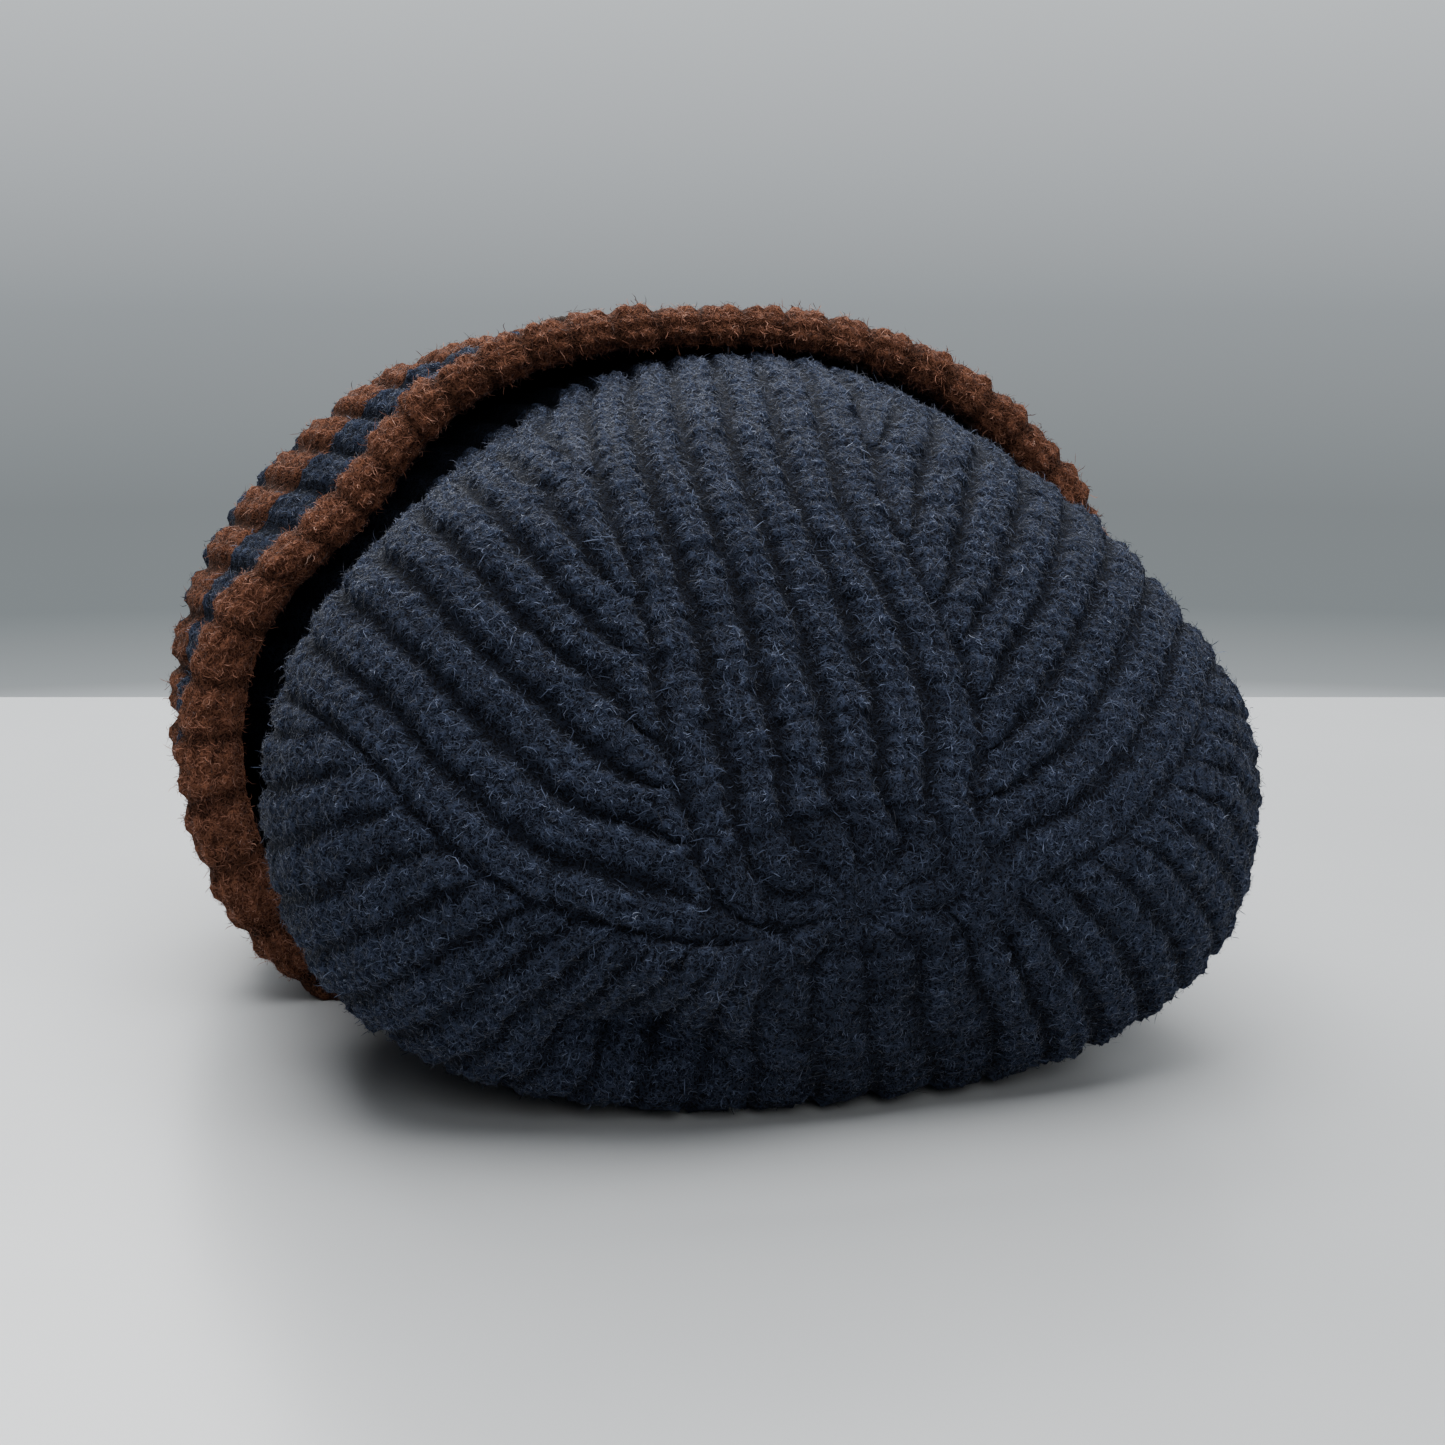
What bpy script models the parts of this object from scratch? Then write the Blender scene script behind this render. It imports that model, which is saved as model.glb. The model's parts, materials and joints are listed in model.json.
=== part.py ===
"""A ribbed knit beanie with a striped turn-up, lying on its back.

The crown faces -Y and the open brim faces +Y. The hat is one sleeve of rib knit: it runs
from the brim fold (along = 0) to the gathered top (along = 1). A place on it is given by
along, the share of the top line's length, and around, the share of the girth from the
middle of the underside, going up the -X side first.
"""

import bmesh
import bpy
import numpy as np
from mathutils import Matrix, Vector

MM = 0.001

# The hat as it lies
CROWN_WIDTH = 176 * MM
CROWN_HEIGHT = 118 * MM
HAT_LENGTH = 176 * MM
FLOOR_PRESS = 2 * MM

# The knitted cloth
WALL = 4.2 * MM
RIB_DEPTH = 1.8 * MM
FIT_GAP = 0.3 * MM

# Ribs of two panels that reach the gather, and of a lower and an upper run on each side
TOP_PANEL_RIBS = 6
BOTTOM_PANEL_RIBS = 4
LEFT_LOW_RIBS = 13
LEFT_HIGH_RIBS = 8
RIGHT_HIGH_RIBS = 9
RIGHT_LOW_RIBS = 12

# The turn-up, measured from the brim fold to the free edge
CUFF_DEPTH = 70 * MM
LAYER_GAP = 0.8 * MM
CUFF_FLARE = 18 * MM
EDGE_BAND = 13 * MM
EDGE_THICK = 8 * MM
EDGE_ROUND = 4.5 * MM
NAVY_STRIPE = 13 * MM
BROWN_STRIPE = 17 * MM

# How far the folds of the lying crown stand in or out
FOLD_RISE = 10 * MM

# The blank patch on the turn-up
LABEL_LENGTH = 42 * MM
LABEL_DEPTH = 22 * MM
LABEL_THICK = 1.4 * MM
LABEL_FROM_EDGE = 20 * MM

# Fineness of the faceted solids
STATIONS = 360
FORM_ROWS = 181
FOLD_TURNS = 3
LABEL_STEPS = 8
LABEL_ROWS = 2
RIB_SHOULDERS = (0.0, 0.28, 0.72)
SHARP_CREASE = 1.2

# A rib thinner than this share of a whole one is gone, and up to the next it lies lower
THINNEST_RIB = 0.18
FULL_RIB = 0.6

# Sections from the brim fold to the gather. Along is a share of HAT_LENGTH, half_width and
# aside of CROWN_WIDTH, top, middle and bottom of CROWN_HEIGHT. Lift says how far the turn-up
# below raises the section, lean tips its top towards the brim, tuck draws its underside back
# under the gather where it is small, and shear moves it to +X.
SECTION_COLUMNS = ("along", "half_width", "aside", "top", "middle", "bottom", "lift", "lean",
                   "tuck", "shear", "square_top", "square_bottom")
SECTIONS = (
    (0.000, 0.475, 0.000, 0.945, 0.490, 0.000, 1.0, 0.20, 0.20, 0.12, 2.0, 2.4),
    (0.180, 0.462, 0.010, 0.980, 0.490, 0.000, 1.0, 0.20, 0.20, 0.13, 2.0, 2.4),
    (0.375, 0.405, 0.035, 1.000, 0.483, 0.000, 0.9, 0.18, 0.18, 0.13, 2.0, 2.4),
    (0.557, 0.465, 0.011, 0.975, 0.458, 0.000, 0.0, 0.12, 0.12, 0.09, 1.9, 2.5),
    (0.716, 0.494, 0.001, 0.898, 0.440, 0.000, 0.0, 0.14, 0.14, 0.05, 2.0, 2.6),
    (0.841, 0.470, 0.002, 0.805, 0.420, 0.013, 0.0, 0.20, 0.12, 0.02, 2.0, 2.6),
    (0.920, 0.406, 0.010, 0.700, 0.395, 0.032, 0.0, 0.25, 0.05, -0.02, 2.0, 2.5),
    (0.972, 0.312, 0.008, 0.590, 0.370, 0.086, 0.0, 0.28, -0.04, -0.02, 2.0, 2.3),
    (0.992, 0.199, 0.000, 0.500, 0.352, 0.180, 0.0, 0.26, -0.03, 0.00, 2.0, 2.0),
    (0.997, 0.102, 0.000, 0.415, 0.337, 0.258, 0.0, 0.15, 0.02, 0.00, 2.0, 2.0),
    (0.992, 0.012, 0.000, 0.338, 0.329, 0.320, 0.0, 0.10, 0.10, 0.00, 2.0, 2.0),
)

# The six lines, as places around, that part the panels and runs of ribs, and how many ribs
# are left in each run. A run's ribs are knitted away one after another at its upper line.
RUN_COLUMNS = ("along", "bottom_left", "low_left", "high_left", "high_right", "low_right",
               "bottom_right", "left_low", "left_high", "right_high", "right_low")
RUNS = (
    (0.460, 0.028, 0.278, 0.432, 0.548, 0.721, 0.951, 13.0, 8.0, 9.0, 12.0),
    (0.600, 0.032, 0.287, 0.431, 0.541, 0.710, 0.948, 12.6, 7.2, 8.0, 11.8),
    (0.670, 0.036, 0.294, 0.429, 0.540, 0.698, 0.944, 12.1, 6.8, 7.5, 11.4),
    (0.733, 0.042, 0.294, 0.425, 0.546, 0.690, 0.938, 11.0, 6.3, 6.8, 10.6),
    (0.800, 0.052, 0.278, 0.412, 0.561, 0.697, 0.928, 9.0, 5.0, 5.2, 8.6),
    (0.856, 0.065, 0.258, 0.388, 0.583, 0.710, 0.915, 7.0, 4.0, 3.9, 6.4),
    (0.894, 0.085, 0.235, 0.360, 0.608, 0.735, 0.895, 5.0, 2.9, 2.9, 4.2),
    (0.930, 0.120, 0.212, 0.300, 0.650, 0.762, 0.860, 2.6, 1.6, 1.6, 2.2),
    (0.966, 0.190, 0.190, 0.190, 0.790, 0.790, 0.790, 0.0, 0.0, 0.0, 0.0),
)

# Folds that the whole wall follows. Rise is a share of FOLD_RISE, inwards if negative.
FOLD_COLUMNS = ("around", "along", "reach_around", "reach_along", "rise")
FOLDS = (
    (0.125, 0.835, 0.050, 0.052, -1.25),
    (0.170, 0.920, 0.060, 0.028, 0.40),
    (0.930, 0.860, 0.030, 0.060, -0.25),
    (0.300, 0.640, 0.040, 0.080, -0.15),
    (0.700, 0.600, 0.050, 0.070, -0.15),
    (0.375, 0.620, 0.095, 0.110, 0.42),
)

# Creases pressed only into the outer face. Depth is a share of WALL.
CREASE_COLUMNS = ("around", "along", "reach_around", "reach_along", "depth")
CREASES = (
    (0.030, 0.965, 0.030, 0.030, 0.50),
)

# Rows of corners along the crown's faces, from where the turn-up hides it to the gather
CROWN_ROWS = (0.150, 0.280, 0.370, 0.450, 0.520, 0.580, 0.635, 0.685, 0.730, 0.770, 0.806,
              0.838, 0.866, 0.892, 0.917, 0.941, 0.966, 0.985)

# How far the turn-up stands off the crown, as shares of CUFF_FLARE, at nine places around
FLARE_COLUMNS = ("from_fold", "bottom", "lower_left", "left", "high_left", "upper_left", "top",
                 "upper_right", "right", "lower_right")
FLARE_AROUND = (0.0, 0.125, 0.25, 0.3125, 0.375, 0.5, 0.625, 0.75, 0.875)
FLARES = (
    (0.00, 0.00, 0.00, 0.00, 0.00, 0.00, 0.00, 0.00, 0.00, 0.00),
    (0.12, 0.00, 0.00, 0.03, 0.03, 0.02, 0.00, 0.01, 0.01, 0.00),
    (0.50, 0.05, 0.42, 0.55, 0.36, 0.40, 0.05, 0.08, 0.22, 0.15),
    (0.85, 0.05, 0.84, 1.00, 0.36, 0.38, 0.02, 0.20, 0.52, 0.25),
    (1.00, 0.05, 0.90, 1.05, 0.30, 0.37, 0.02, 0.22, 0.58, 0.25),
)

# The turn-up stands off square to the crown up to OWN_WAY, a share of its depth from the fold,
# and from EDGE_WAY on in the direction of its free edge
OWN_WAY = 0.20
EDGE_WAY = 0.70

# The rolled edge's free side, as back, out, flared and ribbed. Back is a share of EDGE_ROUND
# from the free edge, out a share of EDGE_THICK from the side that faces the crown; flared and
# ribbed say how much of the flare and of the rib valleys a corner takes.
ROLL = (
    (1.00, 0.00, 0.80, 0.0),
    (0.00, 0.35, 1.00, 0.2),
    (0.15, 0.75, 1.00, 0.4),
    (1.00, 1.00, 1.00, 0.5),
)

# Colours of the yarns and of the patch
NAVY = (0.020, 0.027, 0.040, 1.0)
BROWN = (0.110, 0.036, 0.020, 1.0)
PATCH_BROWN = (0.060, 0.032, 0.022, 1.0)

LEFT_RIBS = LEFT_LOW_RIBS + LEFT_HIGH_RIBS
RIGHT_RIBS = RIGHT_LOW_RIBS + RIGHT_HIGH_RIBS
RIBS = BOTTOM_PANEL_RIBS + TOP_PANEL_RIBS + LEFT_RIBS + RIGHT_RIBS
FOLD_RADIUS = WALL + LAYER_GAP / 2
UNDER_CUFF = WALL + LAYER_GAP


def column(table, columns, name):
    """One named column of a table, as an array."""
    return np.array(table, float)[:, columns.index(name)]


def through_rows(values, marks, at):
    """A smooth curve through a table's rows, whose places are marks, read at each value of at."""
    values = np.asarray(values, float)
    slopes = np.gradient(values, marks, axis=0)
    row = np.clip(np.searchsorted(marks, at, side="right") - 1, 0, len(marks) - 2)
    span = marks[row + 1] - marks[row]
    share = (at - marks[row]) / span
    span = span.reshape(-1, *[1] * (values.ndim - 1))
    share = share.reshape(span.shape)
    from_start = (2 * share**3 - 3 * share**2 + 1) * values[row]
    from_end = (3 * share**2 - 2 * share**3) * values[row + 1]
    start_slope = (share**3 - 2 * share**2 + share) * span * slopes[row]
    end_slope = (share**3 - share**2) * span * slopes[row + 1]
    return from_start + from_end + start_slope + end_slope


def unit(vectors):
    """The same directions at length one."""
    return vectors / np.linalg.norm(vectors, axis=-1, keepdims=True)


def section_sizes():
    """The section table in metres, a dictionary of columns, and the top line's length marks."""
    cell = {name: column(SECTIONS, SECTION_COLUMNS, name) for name in SECTION_COLUMNS}
    size = {
        "y": -cell["along"] * HAT_LENGTH,
        "half_width": cell["half_width"] * CROWN_WIDTH,
        "aside": cell["aside"] * CROWN_WIDTH,
        "top": cell["top"] * CROWN_HEIGHT,
        "middle": cell["middle"] * CROWN_HEIGHT,
        "bottom": cell["bottom"] * CROWN_HEIGHT + cell["lift"] * UNDER_CUFF - FLOOR_PRESS,
        "lean": cell["lean"],
        "tuck": cell["tuck"],
        "shear": cell["shear"],
        "square_top": cell["square_top"],
        "square_bottom": cell["square_bottom"],
    }
    rise = size["top"] - size["middle"]
    line = np.stack([size["aside"] + size["shear"] * rise, size["y"] + size["lean"] * rise,
                     size["top"]], axis=1)
    steps = np.linalg.norm(np.diff(line, axis=0), axis=1)
    return size, np.concatenate([[0.0], np.cumsum(steps)])


def section_ring(size):
    """STATIONS points around one section, evenly spaced by length from the bottom."""
    angle = np.linspace(0.0, 2 * np.pi, 4 * STATIONS + 1)
    side, up = -np.sin(angle), -np.cos(angle)
    power = 2 / np.where(up > 0, size["square_top"], size["square_bottom"])
    reach = np.where(up > 0, size["top"] - size["middle"], size["middle"] - size["bottom"])
    across = size["half_width"] * np.sign(side) * np.abs(side) ** power
    height = reach * np.sign(up) * np.abs(up) ** power
    ahead = size["y"] + np.where(up > 0, size["lean"], size["tuck"]) * height
    points = np.stack([size["aside"] + across + size["shear"] * height, ahead,
                       size["middle"] + height], axis=1)
    steps = np.linalg.norm(np.diff(points, axis=0), axis=1)
    length = np.concatenate([[0.0], np.cumsum(steps)])
    even = np.linspace(0.0, length[-1], STATIONS, endpoint=False)
    return np.stack([np.interp(even, length, points[:, axis]) for axis in range(3)], axis=1)


def bumps(table, columns, last, along, around):
    """The summed height of a table of soft bumps at a grid of places."""
    height = np.zeros((len(along), len(around)))
    for row in table:
        cell = dict(zip(columns, row))
        aside = (around - cell["around"] + 0.5) % 1.0 - 0.5
        ahead = along - cell["along"]
        spread = (aside[None, :] / cell["reach_around"]) ** 2
        height += cell[last] * np.exp(-spread - (ahead[:, None] / cell["reach_along"]) ** 2)
    return height


class Form:
    """The smooth outer face of the sleeve, before its ribs, as a fine grid of points."""

    def __init__(self):
        size, marks = section_sizes()
        self.top_line = marks[-1]
        self.along = np.linspace(0.0, 1.0, FORM_ROWS)
        self.around = np.arange(STATIONS) / STATIONS
        names = list(size)
        cells = through_rows(np.stack([size[name] for name in names], axis=1), marks,
                             self.along * marks[-1])
        self.points = np.array([section_ring(dict(zip(names, row))) for row in cells])
        self.normals = self.face_normals()
        rise = FOLD_RISE * bumps(FOLDS, FOLD_COLUMNS, "rise", self.along, self.around)
        self.points = self.points + self.normals * rise[..., None]
        self.normals = self.face_normals()
        self.creases = WALL * bumps(CREASES, CREASE_COLUMNS, "depth", self.along, self.around)
        steps = np.roll(self.points, -1, axis=1) - self.points
        self.girths = np.linalg.norm(steps, axis=2).sum(axis=1)

    def face_normals(self):
        """Outward normals, from the neighbours of each point of the grid."""
        ahead = np.gradient(self.points, axis=0)
        aside = np.roll(self.points, -1, axis=1) - np.roll(self.points, 1, axis=1)
        normals = unit(np.cross(ahead, aside))
        normals[-1] = unit(normals[-2].mean(axis=0))
        return normals

    def read(self, grid, along, around):
        """A value of the grid at any place, by linear steps."""
        row = np.clip(np.asarray(along, float), 0.0, 1.0) * (FORM_ROWS - 1)
        station = np.mod(np.asarray(around, float), 1.0) * STATIONS
        low = np.minimum(row.astype(int), FORM_ROWS - 2)
        left = station.astype(int) % STATIONS
        right = (left + 1) % STATIONS
        up = (row - low)[..., None]
        over = (station - np.floor(station))[..., None]
        here = grid[low, left] * (1 - over) + grid[low, right] * over
        there = grid[low + 1, left] * (1 - over) + grid[low + 1, right] * over
        return here * (1 - up) + there * up

    def point(self, along, around, height=0.0):
        """Places at a height over the outer face, given as arrays of one shape."""
        normal = unit(self.read(self.normals, along, around))
        return self.read(self.points, along, around) + normal * np.asarray(height)[..., None]

    def off_crown(self, from_fold, around, height):
        """Places of the turn-up at a height over the crown's face.

        Towards the free edge every height is taken in the direction that the face has below
        that edge, so that cloth that flares out over the narrow crown keeps its depth.
        """
        along = np.full(len(around), from_fold / self.top_line)
        edge = np.full(len(around), (CUFF_DEPTH - EDGE_ROUND) / self.top_line)
        share = np.clip((from_fold / CUFF_DEPTH - OWN_WAY) / (EDGE_WAY - OWN_WAY), 0.0, 1.0)
        turn = share * share * (3 - 2 * share)
        normal = self.read(self.normals, along, around) * (1 - turn)
        normal = unit(normal + self.read(self.normals, edge, around) * turn)
        return self.read(self.points, along, around) + normal * np.asarray(height)[..., None]

    def crease(self, along, around):
        """The depth of the pressed creases at any place."""
        return self.read(self.creases[..., None], along, around)[..., 0]

    def girth(self, along):
        """The length once round the outer face."""
        return np.interp(along, self.along, self.girths)


def run_row(along):
    """The table of runs read at one place along, as a dictionary."""
    marks = column(RUNS, RUN_COLUMNS, "along")
    at = np.clip([along], marks[0], marks[-1])
    return dict(zip(RUN_COLUMNS, through_rows(RUNS, marks, at)[0]))


def rib_shares(along):
    """The width of each rib, 1 for a whole one, from the middle of the underside round."""
    row = run_row(along)
    half_panel = np.ones(BOTTOM_PANEL_RIBS // 2)
    runs = []
    for name, ribs in (("left_low", LEFT_LOW_RIBS), ("left_high", LEFT_HIGH_RIBS),
                       ("right_high", RIGHT_HIGH_RIBS), ("right_low", RIGHT_LOW_RIBS)):
        widths = np.clip(row[name] - np.arange(ribs), 0.0, 1.0)
        widths[widths < THINNEST_RIB] = 0.0
        runs.append(widths if name.startswith("left") else widths[::-1])
    return np.concatenate([half_panel, *runs[:2], np.ones(TOP_PANEL_RIBS), *runs[2:], half_panel])


def rib_edges(along):
    """Where the valleys between ribs lie around the girth, with the last one at the first."""
    row = run_row(along)
    middle = (row["bottom_left"] + row["bottom_right"] - 1.0) / 2
    lines = [middle, row["bottom_left"], row["low_left"], row["high_left"], row["high_right"],
             row["low_right"], row["bottom_right"], middle + 1.0]
    counts = [BOTTOM_PANEL_RIBS // 2, LEFT_LOW_RIBS, LEFT_HIGH_RIBS, TOP_PANEL_RIBS,
              RIGHT_HIGH_RIBS, RIGHT_LOW_RIBS, BOTTOM_PANEL_RIBS // 2]
    edges, first = [[middle]], 0
    shares = rib_shares(along)
    for low, high, count in zip(lines, lines[1:], counts):
        widths = shares[first:first + count]
        edges.append(low + (high - low) * np.cumsum(widths) / max(widths.sum(), THINNEST_RIB))
        first += count
    return np.concatenate(edges)


def rib_relief(form, along):
    """The depth of the valleys, which fades where the gather draws the ribs together."""
    pitch = form.girth(along) / rib_shares(along).sum()
    full_pitch = form.girths.max() / RIBS
    return RIB_DEPTH * min(1.0, pitch / full_pitch)


def pressed(points, lowest=0.0):
    """The cloth flattened where it rests."""
    points = points.copy()
    points[:, 2] = np.maximum(points[:, 2], lowest)
    return points


def new_object(name, points, faces, material):
    """A closed, outward-facing mesh object."""
    mesh = bpy.data.meshes.new(name)
    mesh.from_pydata([Vector(point) for point in points], [], faces)
    shape = bmesh.new()
    shape.from_mesh(mesh)
    bmesh.ops.recalc_face_normals(shape, faces=shape.faces)
    shape.to_mesh(mesh)
    shape.free()
    mesh.materials.append(material)
    mesh.shade_smooth()
    mesh.set_sharp_from_angle(angle=SHARP_CREASE)
    piece = bpy.data.objects.new(name, mesh)
    bpy.context.scene.collection.objects.link(piece)
    return piece


def cloth(name, colour):
    """A matt material of one colour."""
    material = bpy.data.materials.new(name)
    material.use_nodes = True
    shader = material.node_tree.nodes["Principled BSDF"]
    shader.inputs["Base Color"].default_value = colour
    shader.inputs["Roughness"].default_value = 0.95
    shader.inputs["Metallic"].default_value = 0.0
    return material


def crown_row(form, along, per_rib):
    """One row of the crown: places around, heights over the face, and a number for each.

    A rib that is knitted away has no width, so its places share the next rib's valley.
    """
    edges = rib_edges(along)
    shares = rib_shares(along)
    relief = rib_relief(form, along)
    places, heights, numbers = [], [], []
    for rib in range(RIBS):
        width = edges[rib + 1] - edges[rib]
        crest = relief * (min(1.0, shares[rib] / FULL_RIB) - 1.0)
        for step, share in enumerate(per_rib):
            numbers.append(len(places))
            if shares[rib] > 0.0:
                places.append(edges[rib] + share * width)
                heights.append(-relief if step == 0 else crest)
    return np.array(places), np.array(heights), [number % len(places) for number in numbers]


def strip_faces(low, high):
    """Faces between two rows of numbered corners, with none where corners coincide."""
    faces = []
    count = len(low)
    for here in range(count):
        there = (here + 1) % count
        corners = []
        for corner in (low[here], low[there], high[there], high[here]):
            if corner not in corners:
                corners.append(corner)
        if len(corners) > 2:
            faces.append(corners)
    return faces


def crown_face(form, rows, per_rib, depth, lowest, points, faces):
    """One face of the crown's wall as rows of corners, closed at the gather."""
    numbered = []
    for along in rows:
        around, heights, numbers = crown_row(form, along, per_rib)
        if depth > 0.0:
            heights = np.full(len(around), -depth)
        else:
            heights = heights - form.crease(np.full(len(around), along), around)
        start = len(points)
        corners = form.point(np.full(len(around), along), around, heights)
        points.extend(pressed(corners, lowest))
        numbered.append([start + number for number in numbers])
    pole = form.point(np.array([1.0]), np.array([0.0]), np.array([-depth]))
    points.extend(pole)
    for low, high in zip(numbered, numbered[1:]):
        faces.extend(strip_faces(low, high))
    faces.extend(strip_faces(numbered[-1], [len(points) - 1] * len(numbered[-1])))
    return numbered[0]


def make_crown(form, material):
    """The body: a hollow ribbed shell from just inside the brim fold to the gather."""
    start = (FOLD_RADIUS + FIT_GAP) / form.top_line
    points, faces = [], []
    outer = crown_face(form, (start, *CROWN_ROWS), RIB_SHOULDERS, 0.0, 0.0, points, faces)
    inner = crown_face(form, (start, *CROWN_ROWS[::2]), (0.0,), WALL, WALL / 2, points, faces)
    per_rib = len(outer) // len(inner)
    for rib, here in enumerate(inner):
        there = inner[(rib + 1) % len(inner)]
        corners = [outer[(rib * per_rib + step) % len(outer)] for step in range(per_rib + 1)]
        faces.append([here, corners[1], corners[0]])
        faces.extend([here, corners[step + 1], corners[step]] for step in range(1, per_rib - 1))
        faces.append([here, there, corners[-2]])
        faces.append([there, corners[-1], corners[-2]])
    return new_object("crown", points, faces, material)


def flare(from_fold, around):
    """How far the turn-up stands off the crown beyond the layer gap."""
    marks = column(FLARES, FLARE_COLUMNS, "from_fold")
    table = np.array(FLARES, float)[:, 1:]
    at = np.clip(np.atleast_1d(from_fold) / CUFF_DEPTH, 0.0, 1.0)
    cells = through_rows(table, marks, at)
    places = np.array(FLARE_AROUND)
    places = np.concatenate([places - 1.0, places, places + 1.0])
    out = [through_rows(np.tile(row, 3), places, np.mod(around, 1.0)) for row in cells]
    return CUFF_FLARE * np.maximum(np.array(out), 0.0)


def cuff_ring(form, section, name, material):
    """A closed band round the hat. Each section corner is (from_fold, height, part, ribbed).

    Height is over the crown's face. Part is the share of the flare that the corner takes.
    """
    edges = rib_edges(0.0)[:-1]
    around = np.ravel(np.column_stack([edges, edges + 0.5 / RIBS]))
    valley = np.tile([1.0, 0.0], RIBS)
    points = []
    for from_fold, height, part, ribbed in section:
        heights = height + part * flare(from_fold, around)[0] - ribbed * RIB_DEPTH * valley
        points.extend(pressed(form.off_crown(from_fold, around, heights)))
    count = len(around)
    rings = [list(range(count * ring, count * (ring + 1))) for ring in range(len(section))]
    faces = []
    for low, high in zip(rings, rings[1:] + rings[:1]):
        faces.extend(strip_faces(low, high))
    return new_object(name, points, faces, material)


def make_cuff_base(form, material, joint):
    """The brim fold and the navy cloth next to it, from the crown's end to the stripe."""
    inner, outer = LAYER_GAP, LAYER_GAP + WALL
    section = [(joint, inner, 1.0, 0.0), (joint, outer, 1.0, 1.0)]
    section.append(((joint + FOLD_RADIUS) / 2, outer, 1.0, 1.0))
    for turn in range(FOLD_TURNS + 1):
        angle = np.pi * turn / FOLD_TURNS
        out = FOLD_RADIUS * np.sin(angle)
        height = LAYER_GAP / 2 + FOLD_RADIUS * np.cos(angle)
        ribbed = 1.0 if turn == 0 else 0.0
        section.append((FOLD_RADIUS - out, height, 0.0, ribbed))
    section.append((FOLD_RADIUS, 0.0, 0.0, 0.0))
    section.append((FOLD_RADIUS, inner, 0.0, 0.0))
    return cuff_ring(form, section, "cuff_base", material)


def make_stripe(form, name, material, start, end):
    """A flat knitted stripe of the turn-up."""
    inner, outer = LAYER_GAP, LAYER_GAP + WALL
    section = [(start, inner, 1.0, 0.0), (end, inner, 1.0, 0.0), (end, outer, 1.0, 1.0),
               (start, outer, 1.0, 1.0)]
    return cuff_ring(form, section, name, material)


def make_rolled_edge(form, material, start):
    """The thick brown edge, rolled outwards, whose ribs show as scallops."""
    inner = LAYER_GAP
    section = [(start, inner, 1.0, 0.0)]
    for back, out, flared, ribbed in ROLL:
        section.append((CUFF_DEPTH - back * EDGE_ROUND, inner + out * EDGE_THICK, flared, ribbed))
    between = (CUFF_DEPTH - EDGE_ROUND + start) / 2
    section.append((between, inner + (EDGE_THICK + WALL) / 2, 1.0, 1.0))
    section.append((start, inner + WALL, 1.0, 1.0))
    return cuff_ring(form, section, "cuff_rolled_edge", material)


def make_label(form, material):
    """A thin blank patch that lies on the crests of the turn-up's ribs, top and centre."""
    girth = form.girth((CUFF_DEPTH - LABEL_FROM_EDGE) / form.top_line)
    around = 0.5 + np.linspace(-0.5, 0.5, LABEL_STEPS + 1) * LABEL_LENGTH / girth
    depths = CUFF_DEPTH - LABEL_FROM_EDGE - np.linspace(0.0, LABEL_DEPTH, LABEL_ROWS + 1)
    seat = LAYER_GAP + WALL + FIT_GAP
    points = []
    for height in (seat, seat + LABEL_THICK):
        for from_fold in depths:
            heights = height + flare(from_fold, around)[0]
            points.extend(form.off_crown(from_fold, around, heights))
    count = LABEL_STEPS + 1
    layer = count * (LABEL_ROWS + 1)
    faces = []
    for row in range(LABEL_ROWS):
        for step in range(LABEL_STEPS):
            corner = row * count + step
            cell = [corner, corner + 1, corner + count + 1, corner + count]
            faces.append(cell)
            faces.append([number + layer for number in reversed(cell)])
    rim = list(range(count))
    rim += [count * (row + 1) - 1 for row in range(1, LABEL_ROWS + 1)]
    rim += list(range(layer - 2, layer - count - 1, -1))
    rim += [count * row for row in range(LABEL_ROWS - 1, 0, -1)]
    for here, there in zip(rim, rim[1:] + rim[:1]):
        faces.append([here, there, there + layer, here + layer])
    return new_object("label_patch", points, faces, material)


def settle(pieces):
    """Move the hat so that the origin lies under the middle of its bounding box."""
    corners = np.array([vertex.co for piece in pieces for vertex in piece.data.vertices])
    middle = (corners.min(axis=0) + corners.max(axis=0)) / 2
    shift = Matrix.Translation((-middle[0], -middle[1], -corners[:, 2].min()))
    for piece in pieces:
        piece.data.transform(shift)


def main():
    """Build the hat's pieces and set them on the floor."""
    for item in list(bpy.data.objects):
        bpy.data.objects.remove(item)
    form = Form()
    edge_start = CUFF_DEPTH - EDGE_BAND
    navy_start = edge_start - FIT_GAP - NAVY_STRIPE
    brown_start = navy_start - FIT_GAP - BROWN_STRIPE
    pieces = [
        make_crown(form, cloth("crown_navy_knit", NAVY)),
        make_cuff_base(form, cloth("fold_navy_knit", NAVY), brown_start - FIT_GAP),
        make_stripe(form, "cuff_brown_stripe", cloth("stripe_brown_knit", BROWN),
                    brown_start, navy_start - FIT_GAP),
        make_stripe(form, "cuff_navy_stripe", cloth("stripe_navy_knit", NAVY),
                    navy_start, edge_start - FIT_GAP),
        make_rolled_edge(form, cloth("edge_brown_knit", BROWN), edge_start),
        make_label(form, cloth("patch_cloth", PATCH_BROWN)),
    ]
    settle(pieces)


main()
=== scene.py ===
"""The looks of a ribbed knit beanie with a striped turn-up, lying on its back.

The crown faces -Y and the open brim faces +Y. The hat is one sleeve of rib knit: it runs
from the brim fold (along = 0) to the gathered top (along = 1). A place on it is given by
along, the share of the top line's length, and around, the share of the girth from the
middle of the underside, going up the -X side first. Every rib is two columns of stitches.
"""

import json
import math

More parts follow.
